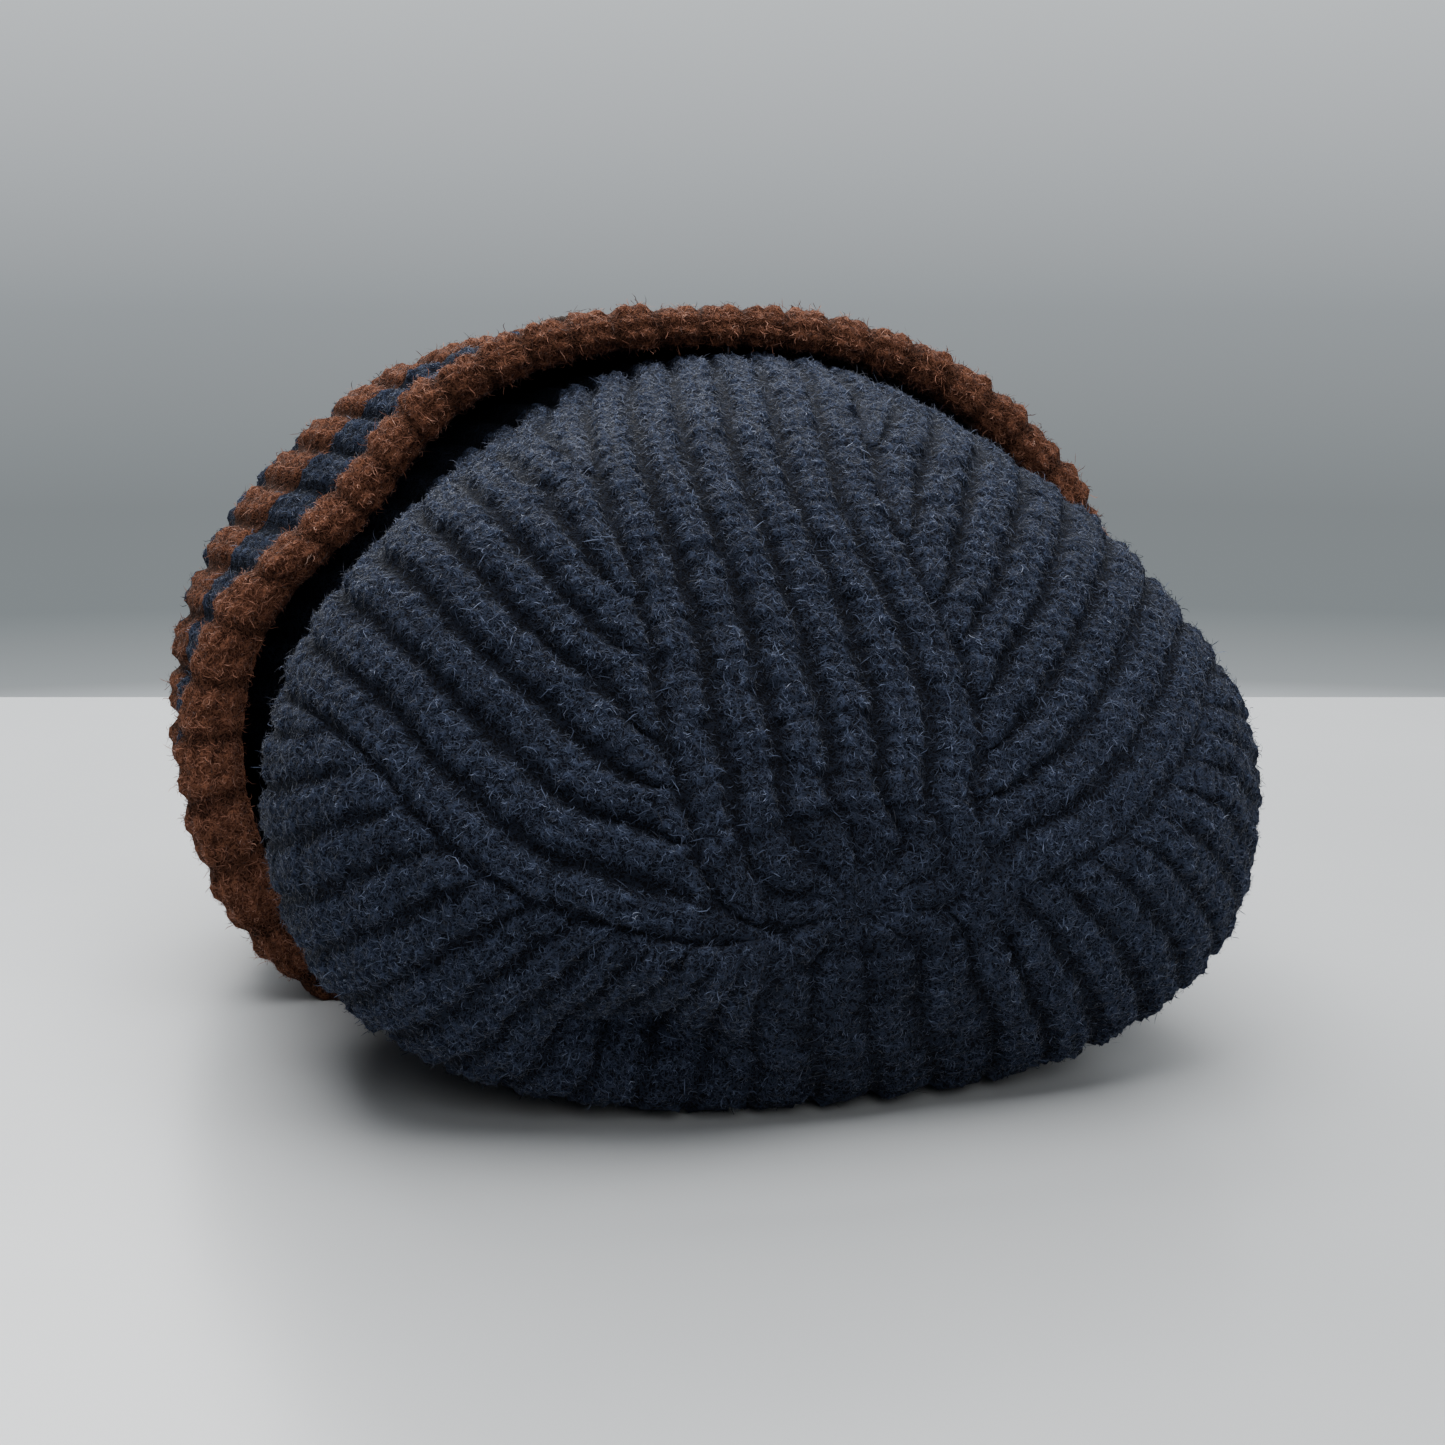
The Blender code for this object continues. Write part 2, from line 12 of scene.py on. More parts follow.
import bpy
import numpy as np
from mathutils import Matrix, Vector

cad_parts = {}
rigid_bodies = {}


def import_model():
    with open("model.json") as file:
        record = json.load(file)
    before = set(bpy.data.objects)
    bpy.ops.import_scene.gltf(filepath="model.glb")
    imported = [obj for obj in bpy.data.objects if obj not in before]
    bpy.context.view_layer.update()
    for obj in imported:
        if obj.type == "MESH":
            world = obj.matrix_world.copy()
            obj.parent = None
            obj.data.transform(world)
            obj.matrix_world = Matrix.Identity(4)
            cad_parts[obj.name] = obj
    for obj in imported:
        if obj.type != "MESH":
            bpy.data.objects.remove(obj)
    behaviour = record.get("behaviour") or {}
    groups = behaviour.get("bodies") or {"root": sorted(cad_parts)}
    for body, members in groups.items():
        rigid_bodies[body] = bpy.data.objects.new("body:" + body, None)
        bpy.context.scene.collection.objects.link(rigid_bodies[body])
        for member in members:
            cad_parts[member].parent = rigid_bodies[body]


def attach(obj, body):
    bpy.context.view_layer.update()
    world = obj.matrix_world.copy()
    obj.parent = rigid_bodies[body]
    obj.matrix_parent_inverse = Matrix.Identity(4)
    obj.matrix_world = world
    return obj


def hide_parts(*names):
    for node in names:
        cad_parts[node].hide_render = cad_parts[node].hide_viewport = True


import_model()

bl_info = {
    "name": "Ribbed knit beanie",
    "version": (1, 0, 0),
    "blender": (4, 5, 0),
    "location": "View3D > Sidebar > Beanie",
    "description": "Knits a ribbed beanie with its turn-up, patch and brushed nap",
    "category": "Add Mesh",
}

MM = 0.001

# The hat as it lies
CROWN_WIDTH = 176 * MM
CROWN_HEIGHT = 118 * MM
HAT_LENGTH = 176 * MM
FLOOR_PRESS = 2.0 * MM

# How far the hat is moved so that the middle of its solids' box lies over the origin
SETTLED = (-0.386 * MM, 83.748 * MM, 0.0)

# The knitted cloth
WALL = 4.2 * MM
FIT_GAP = 0.3 * MM

# Ribs of two panels that reach the gather, and of a lower and an upper run on each side
TOP_PANEL_RIBS = 6
BOTTOM_PANEL_RIBS = 4
LEFT_LOW_RIBS = 13
LEFT_HIGH_RIBS = 8
RIGHT_HIGH_RIBS = 9
RIGHT_LOW_RIBS = 12
RIBS = (BOTTOM_PANEL_RIBS + TOP_PANEL_RIBS + LEFT_LOW_RIBS + LEFT_HIGH_RIBS
        + RIGHT_LOW_RIBS + RIGHT_HIGH_RIBS)

# The turn-up, measured from the brim fold to the free edge
CUFF_DEPTH = 70 * MM
LAYER_GAP = 0.8 * MM
CUFF_FLARE = 18 * MM
EDGE_BAND = 13 * MM
EDGE_THICK = 8.0 * MM
EDGE_ROUND = 4.5 * MM
NAVY_STRIPE = 13 * MM
BROWN_STRIPE = 17 * MM
FOLD_RADIUS = WALL + LAYER_GAP / 2
UNDER_CUFF = WALL + LAYER_GAP
EDGE_START = CUFF_DEPTH - EDGE_BAND
NAVY_START = EDGE_START - NAVY_STRIPE
BROWN_START = NAVY_START - BROWN_STRIPE

# How far the folds of the lying crown stand in or out
FOLD_RISE = 10 * MM

# The blank patch on the turn-up, its turned hem and its seam
LABEL_LENGTH = 42 * MM
LABEL_DEPTH = 22 * MM
LABEL_THICK = 1.4 * MM
LABEL_FROM_EDGE = 20 * MM
PATCH_CORNER = 2.5 * MM
PATCH_ROUND = 0.8 * MM
PATCH_HEM = 2.2 * MM
PATCH_STEPS = 56
PATCH_ROWS = 30
SEAM_PITCH = 2.8 * MM
SEAM_STITCH = 0.86
THREAD_THICK = 0.55 * MM
THREAD_SIDES = 6

# Fineness of the smooth form under the ribs
STATIONS = 360
FORM_ROWS = 181

# A rib thinner than this share of a whole one is gone. Up to the next it lies lower, by a
# share of the valleys' depth.
THINNEST_RIB = 0.18
FULL_RIB = 0.6
LOW_RIB_DROP = 0.8

# Sections from the brim fold to the gather. Along is a share of HAT_LENGTH, half_width and
# aside of CROWN_WIDTH, top, middle and bottom of CROWN_HEIGHT. Lift says how far the turn-up
# below raises the section, lean tips its top towards the brim, tuck draws its underside back
# under the gather where it is small, and shear moves it to +X.
SECTION_COLUMNS = ("along", "half_width", "aside", "top", "middle", "bottom", "lift", "lean",
                   "tuck", "shear", "square_top", "square_bottom")
SECTIONS = (
    (0.000, 0.475, 0.000, 0.945, 0.490, 0.000, 1.0, 0.20, 0.20, 0.12, 2.0, 2.4),
    (0.180, 0.462, 0.010, 0.980, 0.490, 0.000, 1.0, 0.20, 0.20, 0.13, 2.0, 2.4),
    (0.375, 0.405, 0.035, 1.000, 0.483, 0.000, 0.9, 0.18, 0.18, 0.13, 2.0, 2.4),
    (0.557, 0.465, 0.011, 0.975, 0.458, 0.000, 0.0, 0.12, 0.12, 0.09, 1.9, 2.5),
    (0.716, 0.494, 0.001, 0.898, 0.440, 0.000, 0.0, 0.14, 0.14, 0.05, 2.0, 2.6),
    (0.841, 0.470, 0.002, 0.805, 0.420, 0.013, 0.0, 0.20, 0.12, 0.02, 2.0, 2.6),
    (0.920, 0.406, 0.010, 0.700, 0.395, 0.032, 0.0, 0.25, 0.05, -0.02, 2.0, 2.5),
    (0.972, 0.312, 0.008, 0.590, 0.370, 0.086, 0.0, 0.28, -0.04, -0.02, 2.0, 2.3),
    (0.992, 0.199, 0.000, 0.500, 0.352, 0.180, 0.0, 0.26, -0.03, 0.00, 2.0, 2.0),
    (0.997, 0.102, 0.000, 0.415, 0.337, 0.258, 0.0, 0.15, 0.02, 0.00, 2.0, 2.0),
    (0.992, 0.012, 0.000, 0.338, 0.329, 0.320, 0.0, 0.10, 0.10, 0.00, 2.0, 2.0),
)

# The six lines, as places around, that part the panels and runs of ribs, and how many ribs
# are left in each run. A run's ribs are knitted away one after another at its upper line.
RUN_COLUMNS = ("along", "bottom_left", "low_left", "high_left", "high_right", "low_right",
               "bottom_right", "left_low", "left_high", "right_high", "right_low")
RUNS = (
    (0.460, 0.028, 0.278, 0.432, 0.548, 0.721, 0.951, 13.0, 8.0, 9.0, 12.0),
    (0.600, 0.032, 0.287, 0.431, 0.541, 0.710, 0.948, 12.6, 7.2, 8.0, 11.8),
    (0.670, 0.036, 0.294, 0.429, 0.540, 0.698, 0.944, 12.1, 6.8, 7.5, 11.4),
    (0.733, 0.042, 0.294, 0.425, 0.546, 0.690, 0.938, 11.0, 6.3, 6.8, 10.6),
    (0.800, 0.052, 0.278, 0.412, 0.561, 0.697, 0.928, 9.0, 5.0, 5.2, 8.6),
    (0.856, 0.065, 0.258, 0.388, 0.583, 0.710, 0.915, 7.0, 4.0, 3.9, 6.4),
    (0.894, 0.085, 0.235, 0.360, 0.608, 0.735, 0.895, 5.0, 2.9, 2.9, 4.2),
    (0.930, 0.120, 0.212, 0.300, 0.650, 0.762, 0.860, 2.6, 1.6, 1.6, 2.2),
    (0.966, 0.190, 0.190, 0.190, 0.790, 0.790, 0.790, 0.0, 0.0, 0.0, 0.0),
)

# Folds that the whole wall follows. Rise is a share of FOLD_RISE, inwards if negative.
FOLD_COLUMNS = ("around", "along", "reach_around", "reach_along", "rise")
FOLDS = (
    (0.125, 0.835, 0.050, 0.052, -1.25),
    (0.170, 0.920, 0.060, 0.028, 0.40),
    (0.930, 0.860, 0.030, 0.060, -0.25),
    (0.300, 0.640, 0.040, 0.080, -0.15),
    (0.700, 0.600, 0.050, 0.070, -0.15),
    (0.375, 0.620, 0.095, 0.110, 0.42),
)

# Creases pressed only into the outer face. Depth is a share of WALL.
CREASE_COLUMNS = ("around", "along", "reach_around", "reach_along", "depth")
CREASES = (
    (0.030, 0.965, 0.030, 0.030, 0.50),
)

# How far the turn-up stands off the crown, as shares of CUFF_FLARE, with a row for each share
# of its depth from the fold and a column for each place around
FLARE_AROUND = (0.0, 0.125, 0.25, 0.3125, 0.375, 0.5, 0.625, 0.75, 0.875)
FLARE_FROM_FOLD = (0.00, 0.12, 0.50, 0.85, 1.00)
FLARES = (
    (0.00, 0.00, 0.00, 0.00, 0.00, 0.00, 0.00, 0.00, 0.00),
    (0.00, 0.00, 0.03, 0.03, 0.02, 0.00, 0.01, 0.01, 0.00),
    (0.05, 0.42, 0.55, 0.36, 0.40, 0.05, 0.08, 0.22, 0.15),
    (0.05, 0.84, 1.00, 0.36, 0.38, 0.02, 0.20, 0.52, 0.25),
    (0.05, 0.90, 1.05, 0.30, 0.37, 0.02, 0.22, 0.58, 0.25),
)

# The turn-up stands off square to the crown up to OWN_WAY, a share of its depth from the fold,
# and from EDGE_WAY on in the direction of its free edge
OWN_WAY = 0.20
EDGE_WAY = 0.70

# The rolled edge from the last of its full thickness to its lip. Back is a share of EDGE_ROUND
# from the free edge, out a share of EDGE_THICK from the side that faces the crown; flared and
# ribbed say how much of the flare and of the relief a corner takes.
ROLL = (
    (1.00, 1.00, 1.00, 1.00),
    (0.15, 0.75, 1.00, 0.95),
    (0.00, 0.35, 1.00, 0.80),
    (0.35, 0.06, 0.93, 0.50),
    (1.00, 0.00, 0.80, 0.20),
)

# Corners across one rib from valley to valley, and the rows of corners to one stitch
ACROSS = (0.00, 0.08, 0.20, 0.35, 0.50, 0.65, 0.80, 0.92)
ROWS_A_STITCH = 4

# Corners are kept sparse on the underside, which is up to the first and from the second of
# these places around, under the turn-up, close to the gather and inside the hat
UNDERSIDE = (0.09, 0.915)
CROWN_SEEN_FROM = 0.29
HIDDEN_ROWS = 16
SPARSE_FROM = 0.93
LAST_OUTER_ROW = 0.990
LAST_INNER_ROW = 0.985
INNER_ROWS = 50

# The gather is drawn in below the cloth's face
GATHER_DROP = 1.5 * MM

# Places where the crown is stretched and its ribs lie flatter: along, around, the reach of
# each, and the share of the depth that is lost
STRETCHED = ((0.60, 0.21, 0.24, 0.10, 0.60),
             (0.45, 0.47, 0.13, 0.20, 0.50),
             (0.80, 0.09, 0.10, 0.06, 0.40),
             (0.68, 0.73, 0.30, 0.13, 0.78))
LEAST_DEPTH = 0.20

# Depth of the ribs of the turn-up and of its rolled edge, and how far the edge is lumpy. One
# blends into the other from ROLL_BLEND before the edge's start to ROLL_BLEND after it.
TURN_UP_DEPTH = 0.75
ROLL_DEPTH = 0.12
ROLL_LUMPS = 0.8 * MM
ROLL_BLEND = (2 * MM, 3 * MM)
MIDDLING_HIGH = 0.6

# The valleys between ribs, as shares of half a rib's width from its middle: where the fall
# starts, how much later in cloth stretched flat, where the floor starts, and how far single
# stitches push the edge to and fro. A rib narrower than NARROW_RIB loses its relief.
NARROW_RIB = 7.0 * MM
VALLEY_START = 0.28
FLAT_LATER = 0.25
VALLEY_FLOOR = 0.90
VALLEY_WANDER = 0.34
GROOVE_REACH = 0.20

# The two columns of stitches of a rib: their middles and half width as shares of its width,
# and the curve of a stitch across its column
COLUMN_MIDDLES = (0.29, 0.71)
COLUMN_HALF = 0.21
COLUMN_REACH = 1.25
COLUMN_ARC = 2.6
COVER_POWER = 0.7

# How far a stitch lags towards its column's sides, in stitches, and strays from its place
STITCH_SLANT = 0.52
SLANT_REACH = 1.3
STITCH_SHIFT = 0.10

# The bulge of a stitch, its least fullness and the spread by chance, the hollow down the
# column's middle, the height of the mean face, and the chances that each column keeps
BULGE_POWER = 0.8
FULLNESS = (0.65, 0.7)
HOLLOW_REACH = 0.30
HOLLOW_DEPTH = 0.25
MEAN_RISE = 0.75
CHANCES = 256

# Slow swellings along each rib: their length in metres, and their shift from rib to rib
SWELLINGS = ((0.019, 0.173), (0.041, 0.391), (0.0117, 0.617))
SHORT_SWELLING = 0.6

# How high the cloth counts, for its painted shade and its nap, against the crests: on the floor
# of a shallow valley and between two stitches, and how much is lost in the groove of a rib
SHALLOW_SHADE = 0.5
BETWEEN_STITCHES = 0.40
GROOVE_SHADE = 0.40

# The nap: its share on the valleys' floors, the heights over which it thins out where the hat
# rests, where it starts on the crown, and how many shapes and which scales its fibres have
CROWN_VALLEY_NAP = 0.05
TURN_UP_VALLEY_NAP = 0.10
RESTS_BELOW = (1.5 * MM, 6 * MM)
NAP_FROM = (0.30, 0.33)
FIBRE_KINDS = 12
FIBRE_SCALES = (0.55, 1.35)

# Of the corners across hidden and across sparse ribs, one in so many is kept
HIDDEN_STEP = 4
SPARSE_STEP = 2

# Edges sharper than these stay sharp on the knit and on the patch
SHARP_KNIT = math.radians(75)
SHARP_PATCH = math.radians(60)

# The crown's levels on the picture map: its outer face, the two points of the gather with
# how high they count, which paints the pucker dark as shade, and their nap, and its inner face
OUTER_MAP = 0.66
GATHER_MAP = (0.665, 0.67)
GATHER_HIGH = 0.2
GATHER_NAP = 0.3
INNER_MAP = (0.68, 0.32)
CLOSING_MAP = 0.002

# The crown's inner face: where a rib starts, its rise, how far the face lies towards the
# outer one, the wave of its stitches, and how high it counts, which sets its painted shade
INNER_VALLEY = 0.3
INNER_RISE = 0.9 * MM
INNER_SUNK = 0.35 * MM
INNER_WAVE = 0.3 * MM
INNER_HIGH = (0.3, 0.5)

# Rows of the turn-up: corners round its fold, the relief that they take, and marks on the
# flat of its outer side
FOLD_TURNS = 4
FOLD_RELIEF = (0.35, 0.16)
FLAT_MARKS = (9 * MM, 20 * MM, 36 * MM, EDGE_START - 5 * MM)
ROLL_STEP = 0.2 * MM

# The turn-up's bands: the share of the wall where the fold ends, the middle row of the
# base's hidden side, and the levels of both sides on the picture map
PAST_FOLD = 0.9
BASE_MARK = 0.6
BAND_MAP = 0.9
BACK_MAP = (0.91, 0.08)
# How high the turn-up's hidden side counts, which sets its painted shade
BACK_HIGH = 0.4

# Thickness of the patch, in shares of LABEL_THICK: its edge, its dome, the sag between two
# ribs and the turned hem
PATCH_EDGE = 0.35
PATCH_DOME = 0.50
PATCH_SAG = 0.10
HEM_RISE = 0.15
HEM_REACH = 0.6
PATCH_MAP = 0.96

# One stitch of the seam: rings by their place along it, their thickness and their drop
SEAM_HEIGHT = 0.98
THREAD_RINGS = ((-0.50, 0.35, -0.45), (-0.36, 0.85, -0.10), (0.0, 1.0, 0.0),
                (0.36, 0.85, -0.10), (0.50, 0.35, -0.45))

# Wool fibres drawn on the cloth curl on a scale of 1 to 2.5 mm: scale, seed and thickness of
# three layers of lines. Pilling turns over in about 4 mm.
CURLED_STRANDS = ((0.62 / MM, 1.3, 0.045), (0.43 / MM, 4.1, 0.032), (0.88 / MM, 7.7, 0.06))
PILLING_SCALE = 0.24 / MM

# Dyes of the knit's wool: name, deep, body and strand colour, and sheen. The deep colour is
# painted shade, taken where the cloth counts low in its valleys and grooves.
WOOLS = {
    "navy": ("navy_brushed_lambswool", "#020308", "#080b14", "#40495f", 0.08),
    "brown": ("brown_brushed_lambswool", "#100704", "#301a11", "#905f48", 0.12),
}

# Shades of the loose fibres, from the darkest, by their share of all fibres. A fibre's shade
# is random, and painted lower deep between two ribs as shade.
LOOSE_WOOLS = {
    "navy": ("navy_loose_lambswool", (
        (0.0, "#0b0f1a"), (0.40, "#2c3448"), (0.75, "#4b556d"), (0.93, "#6e7891"),
        (0.975, "#a0a7b8"))),
    "brown": ("brown_loose_lambswool", (
        (0.0, "#30170f"), (0.40, "#70432f"), (0.75, "#a06d57"), (0.93, "#ba8b77"),
        (0.975, "#cbab9b"))),
}

# The ribs of the patch's weave, drawn about twice as coarse as the real ones
TWILL_RIB = 0.7 * MM
TWILL_SLANT = 0.9

# Loose fibres: steps, length and width against the mean ones, and the most that one turns.
# Then the spread of their lengths and of their rise off the cloth, and how they waver.
FIBRES = {"short": (2, 0.8, 1.0, 2.8), "curled": (3, 1.25, 0.9, 4.8)}
FIBRE_LENGTHS = (0.65, 1.35)
FIBRE_CLIMB = (0.05, 0.25)
FIBRE_WOBBLE = 0.3
FIBRE_WAVE = 1.1

# A fibre's width and ends on the picture map, and the width that all shades take there
FIBRE_MAP = 0.003
FIBRE_TIPS = (0.02, 0.98)
SHADE_MAP = 0.99

# Seeds of the scatter, and the share of its shade that a fibre keeps deep between two ribs,
# where it is painted darker as shade
TILT_SEED = 17
SIZE_SEED = 29
PICK_SEED = 31
SHADE_SEED = 43
DEEP_FIBRE = 0.50

# The knitted pieces, with the finish and the dye of each
KNITTED = {
    "crown_knit": ("crown", "navy"),
    "turn_up_base": ("cuff_base", "navy"),
    "turn_up_brown_stripe": ("cuff_brown_stripe", "brown"),
    "turn_up_navy_stripe": ("cuff_navy_stripe", "navy"),
    "turn_up_roll": ("cuff_rolled_edge", "brown"),
}

# Layers of the nap: name, knitted piece, fibre, share of the nap's density, and tilt
NAP_LAYERS = (
    ("fuzz_crown_1", "crown_knit", "short", 1.0, 0.35),
    ("fuzz_crown_2", "crown_knit", "short", 1.0, 0.35),
    ("fuzz_base", "turn_up_base", "short", 0.5, 0.35),
    ("fuzz_brown_stripe", "turn_up_brown_stripe", "short", 0.8, 0.35),
    ("fuzz_navy_stripe", "turn_up_navy_stripe", "short", 0.8, 0.35),
    ("fuzz_roll", "turn_up_roll", "short", 1.5, 0.5),
    ("curls_crown_1", "crown_knit", "curled", 0.38, 0.45),
    ("curls_crown_2", "crown_knit", "curled", 0.30, 0.8),
    ("curls_base", "turn_up_base", "curled", 0.1, 0.7),
    ("curls_brown_stripe", "turn_up_brown_stripe", "curled", 0.45, 0.75),
    ("curls_navy_stripe", "turn_up_navy_stripe", "curled", 0.45, 0.75),
    ("curls_roll", "turn_up_roll", "curled", 1.0, 0.8),
)

# The board that the hat lies on, square to the camera's view
BOARD_HALF_WIDTH = 0.90
BOARD_FRONT = -0.42
BOARD_BACK = 0.30

# The lamps, with the place, the aim and the size of each
LAMPS = (
    ("overhead", (0.0, -0.05, 1.05), (0.0, 0.0, 0.0), 1.0),
    ("behind", (0.05, 0.88, 0.82), (0.0, 0.0, 0.05), 0.9),
    ("front", (-0.05, -1.05, 0.62), (0.0, -0.05, 0.05), 0.6),
)

# The ceiling's light and the backdrop, by how steeply a ray rises
CEILING_RISE = (0.1, 0.7)
CEILING_WHITE = "#f4f8ff"
BACKDROP_RISE = (-0.18, 0.08)
BACKDROP_GREYS = ((0.0, "#cfd5d9"), (0.03, "#a4aaad"), (0.13, "#848b8e"), (0.27, "#848a8d"),
                  (0.54, "#9ca2a6"), (0.82, "#c6cbcf"), (1.0, "#dce1e4"))

# The camera's aim, film and nearest distance
AIM = (1.614 * MM, -8.252 * MM, 52 * MM)
FILM_WIDTH = 36
NEAREST = 0.01


def linear(colour):
    """A hex colour, as seen on a screen, as the linear numbers that shaders take."""
    parts = [int(colour[start:start + 2], 16) / 255 for start in (1, 3, 5)]
    return tuple(part / 12.92 if part <= 0.04045 else ((part + 0.055) / 1.055) ** 2.4
                 for part in parts)


def column(table, columns, name):
    """One named column of a table, as an array."""
    return np.array(table, float)[:, columns.index(name)]


def through_rows(values, marks, at):
    """A smooth curve through a table's rows, whose places are marks, read at each value of at."""
    values = np.asarray(values, float)
    slopes = np.gradient(values, marks, axis=0)
    row = np.clip(np.searchsorted(marks, at, side="right") - 1, 0, len(marks) - 2)
    span = marks[row + 1] - marks[row]
    share = (at - marks[row]) / span
    span = span.reshape(-1, *[1] * (values.ndim - 1))
    share = share.reshape(span.shape)
    from_start = (2 * share**3 - 3 * share**2 + 1) * values[row]
    from_end = (3 * share**2 - 2 * share**3) * values[row + 1]
    start_slope = (share**3 - 2 * share**2 + share) * span * slopes[row]
    end_slope = (share**3 - share**2) * span * slopes[row + 1]
    return from_start + from_end + start_slope + end_slope


def unit(vectors):
    """The same directions at length one."""
    return vectors / np.maximum(np.linalg.norm(vectors, axis=-1, keepdims=True), 1e-12)


def ease(value, low, high):
    """A soft step from 0 at low to 1 at high."""
    share = np.clip((np.asarray(value, float) - low) / (high - low), 0.0, 1.0)
    return share * share * (3 - 2 * share)


def wave(turns):
    """0 at whole turns and 1 halfway between."""
    return 0.5 - 0.5 * np.cos(2 * np.pi * turns)


def way_round(around, place):
    """The shorter way round the girth from a place."""
    return (around - place + 0.5) % 1.0 - 0.5


def travelled(line):
    """The length travelled at each point of a line."""
    steps = np.linalg.norm(np.diff(line, axis=0), axis=1)
    return np.concatenate([[0.0], np.cumsum(steps)])


def outward(points):
    """Outward normals of a closed grid of rows, from the neighbours of each point."""
    ahead = np.gradient(points, axis=0)
    aside = np.roll(points, -1, axis=1) - np.roll(points, 1, axis=1)
    return unit(np.cross(ahead, aside))


def section_sizes():
    """The section table in metres, a dictionary of columns, and the top line's length marks."""
    cell = {name: column(SECTIONS, SECTION_COLUMNS, name) for name in SECTION_COLUMNS}
    size = {
        "y": -cell["along"] * HAT_LENGTH,
        "half_width": cell["half_width"] * CROWN_WIDTH,
        "aside": cell["aside"] * CROWN_WIDTH,
        "top": cell["top"] * CROWN_HEIGHT,
        "middle": cell["middle"] * CROWN_HEIGHT,
        "bottom": cell["bottom"] * CROWN_HEIGHT + cell["lift"] * UNDER_CUFF - FLOOR_PRESS,
        "lean": cell["lean"],
        "tuck": cell["tuck"],
        "shear": cell["shear"],
        "square_top": cell["square_top"],
        "square_bottom": cell["square_bottom"],
    }
    rise = size["top"] - size["middle"]
    line = np.stack([size["aside"] + size["shear"] * rise, size["y"] + size["lean"] * rise,
                     size["top"]], axis=1)
    return size, travelled(line)


def section_ring(size):
    """STATIONS points around one section, evenly spaced by length from the bottom."""
    angle = np.linspace(0.0, 2 * np.pi, 4 * STATIONS + 1)
    side, up = -np.sin(angle), -np.cos(angle)
    power = 2 / np.where(up > 0, size["square_top"], size["square_bottom"])
    reach = np.where(up > 0, size["top"] - size["middle"], size["middle"] - size["bottom"])
    across = size["half_width"] * np.sign(side) * np.abs(side) ** power
    height = reach * np.sign(up) * np.abs(up) ** power
    ahead = size["y"] + np.where(up > 0, size["lean"], size["tuck"]) * height
    points = np.stack([size["aside"] + across + size["shear"] * height, ahead,
                       size["middle"] + height], axis=1)
    length = travelled(points)
    even = np.linspace(0.0, length[-1], STATIONS, endpoint=False)
    return np.stack([np.interp(even, length, points[:, axis]) for axis in range(3)], axis=1)


def bumps(table, columns, last, along, around):
    """The summed height of a table of soft bumps at a grid of places."""
    height = np.zeros((len(along), len(around)))
    for row in table:
        cell = dict(zip(columns, row))
        aside = way_round(around, cell["around"])
        ahead = along - cell["along"]
        spread = (aside[None, :] / cell["reach_around"]) ** 2
        height += cell[last] * np.exp(-spread - (ahead[:, None] / cell["reach_along"]) ** 2)
    return height


class Form:
    """The smooth outer face of the sleeve, before its ribs, as a fine grid of points."""

    def __init__(self):
        size, marks = section_sizes()
        self.top_line = marks[-1]
        self.along = np.linspace(0.0, 1.0, FORM_ROWS)
        self.around = np.arange(STATIONS) / STATIONS
        names = list(size)
        cells = through_rows(np.stack([size[name] for name in names], axis=1), marks,
                             self.along * marks[-1])
        self.points = np.array([section_ring(dict(zip(names, row))) for row in cells])
        self.normals = self.face_normals()
        rise = FOLD_RISE * bumps(FOLDS, FOLD_COLUMNS, "rise", self.along, self.around)
        self.points = self.points + self.normals * rise[..., None]
        self.normals = self.face_normals()
        self.creases = WALL * bumps(CREASES, CREASE_COLUMNS, "depth", self.along, self.around)
        steps = np.roll(self.points, -1, axis=1) - self.points
        self.girths = np.linalg.norm(steps, axis=2).sum(axis=1)

    def face_normals(self):
        """Outward normals, with the same one all round the gather."""
        normals = outward(self.points)
        normals[-1] = unit(normals[-2].mean(axis=0))
        return normals

    def read(self, grid, along, around):
        """A value of the grid at any place, by linear steps."""
        row = np.clip(np.asarray(along, float), 0.0, 1.0) * (FORM_ROWS - 1)
        station = np.mod(np.asarray(around, float), 1.0) * STATIONS
        low = np.minimum(row.astype(int), FORM_ROWS - 2)
        left = station.astype(int) % STATIONS
        right = (left + 1) % STATIONS
        up = (row - low)[..., None]
        over = (station - np.floor(station))[..., None]
        here = grid[low, left] * (1 - over) + grid[low, right] * over
        there = grid[low + 1, left] * (1 - over) + grid[low + 1, right] * over
        return here * (1 - up) + there * up

    def point(self, along, around, height=0.0):
        """Places at a height over the outer face, given as arrays of one shape."""
        normal = unit(self.read(self.normals, along, around))
        return self.read(self.points, along, around) + normal * np.asarray(height)[..., None]

    def off_crown(self, from_fold, around, height):
        """Places of the turn-up at a height over the crown's face, as arrays of one shape."""
        from_fold = np.asarray(from_fold, float)
        along = from_fold / self.top_line
        edge = np.full(along.shape, (CUFF_DEPTH - EDGE_ROUND) / self.top_line)
        turn = ease(from_fold / CUFF_DEPTH, OWN_WAY, EDGE_WAY)[..., None]
        normal = self.read(self.normals, along, around) * (1 - turn)
        normal = unit(normal + self.read(self.normals, edge, around) * turn)
        return self.read(self.points, along, around) + normal * np.asarray(height)[..., None]

    def crease(self, along, around):
        """The depth of the pressed creases at any place."""
        return self.read(self.creases[..., None], along, around)[..., 0]

    def girth(self, along):
        """The length once round the outer face."""
        return np.interp(along, self.along, self.girths)


def run_row(along):
    """The table of runs read at one place along, as a dictionary."""
    marks = column(RUNS, RUN_COLUMNS, "along")
    at = np.clip([along], marks[0], marks[-1])
    return dict(zip(RUN_COLUMNS, through_rows(RUNS, marks, at)[0]))


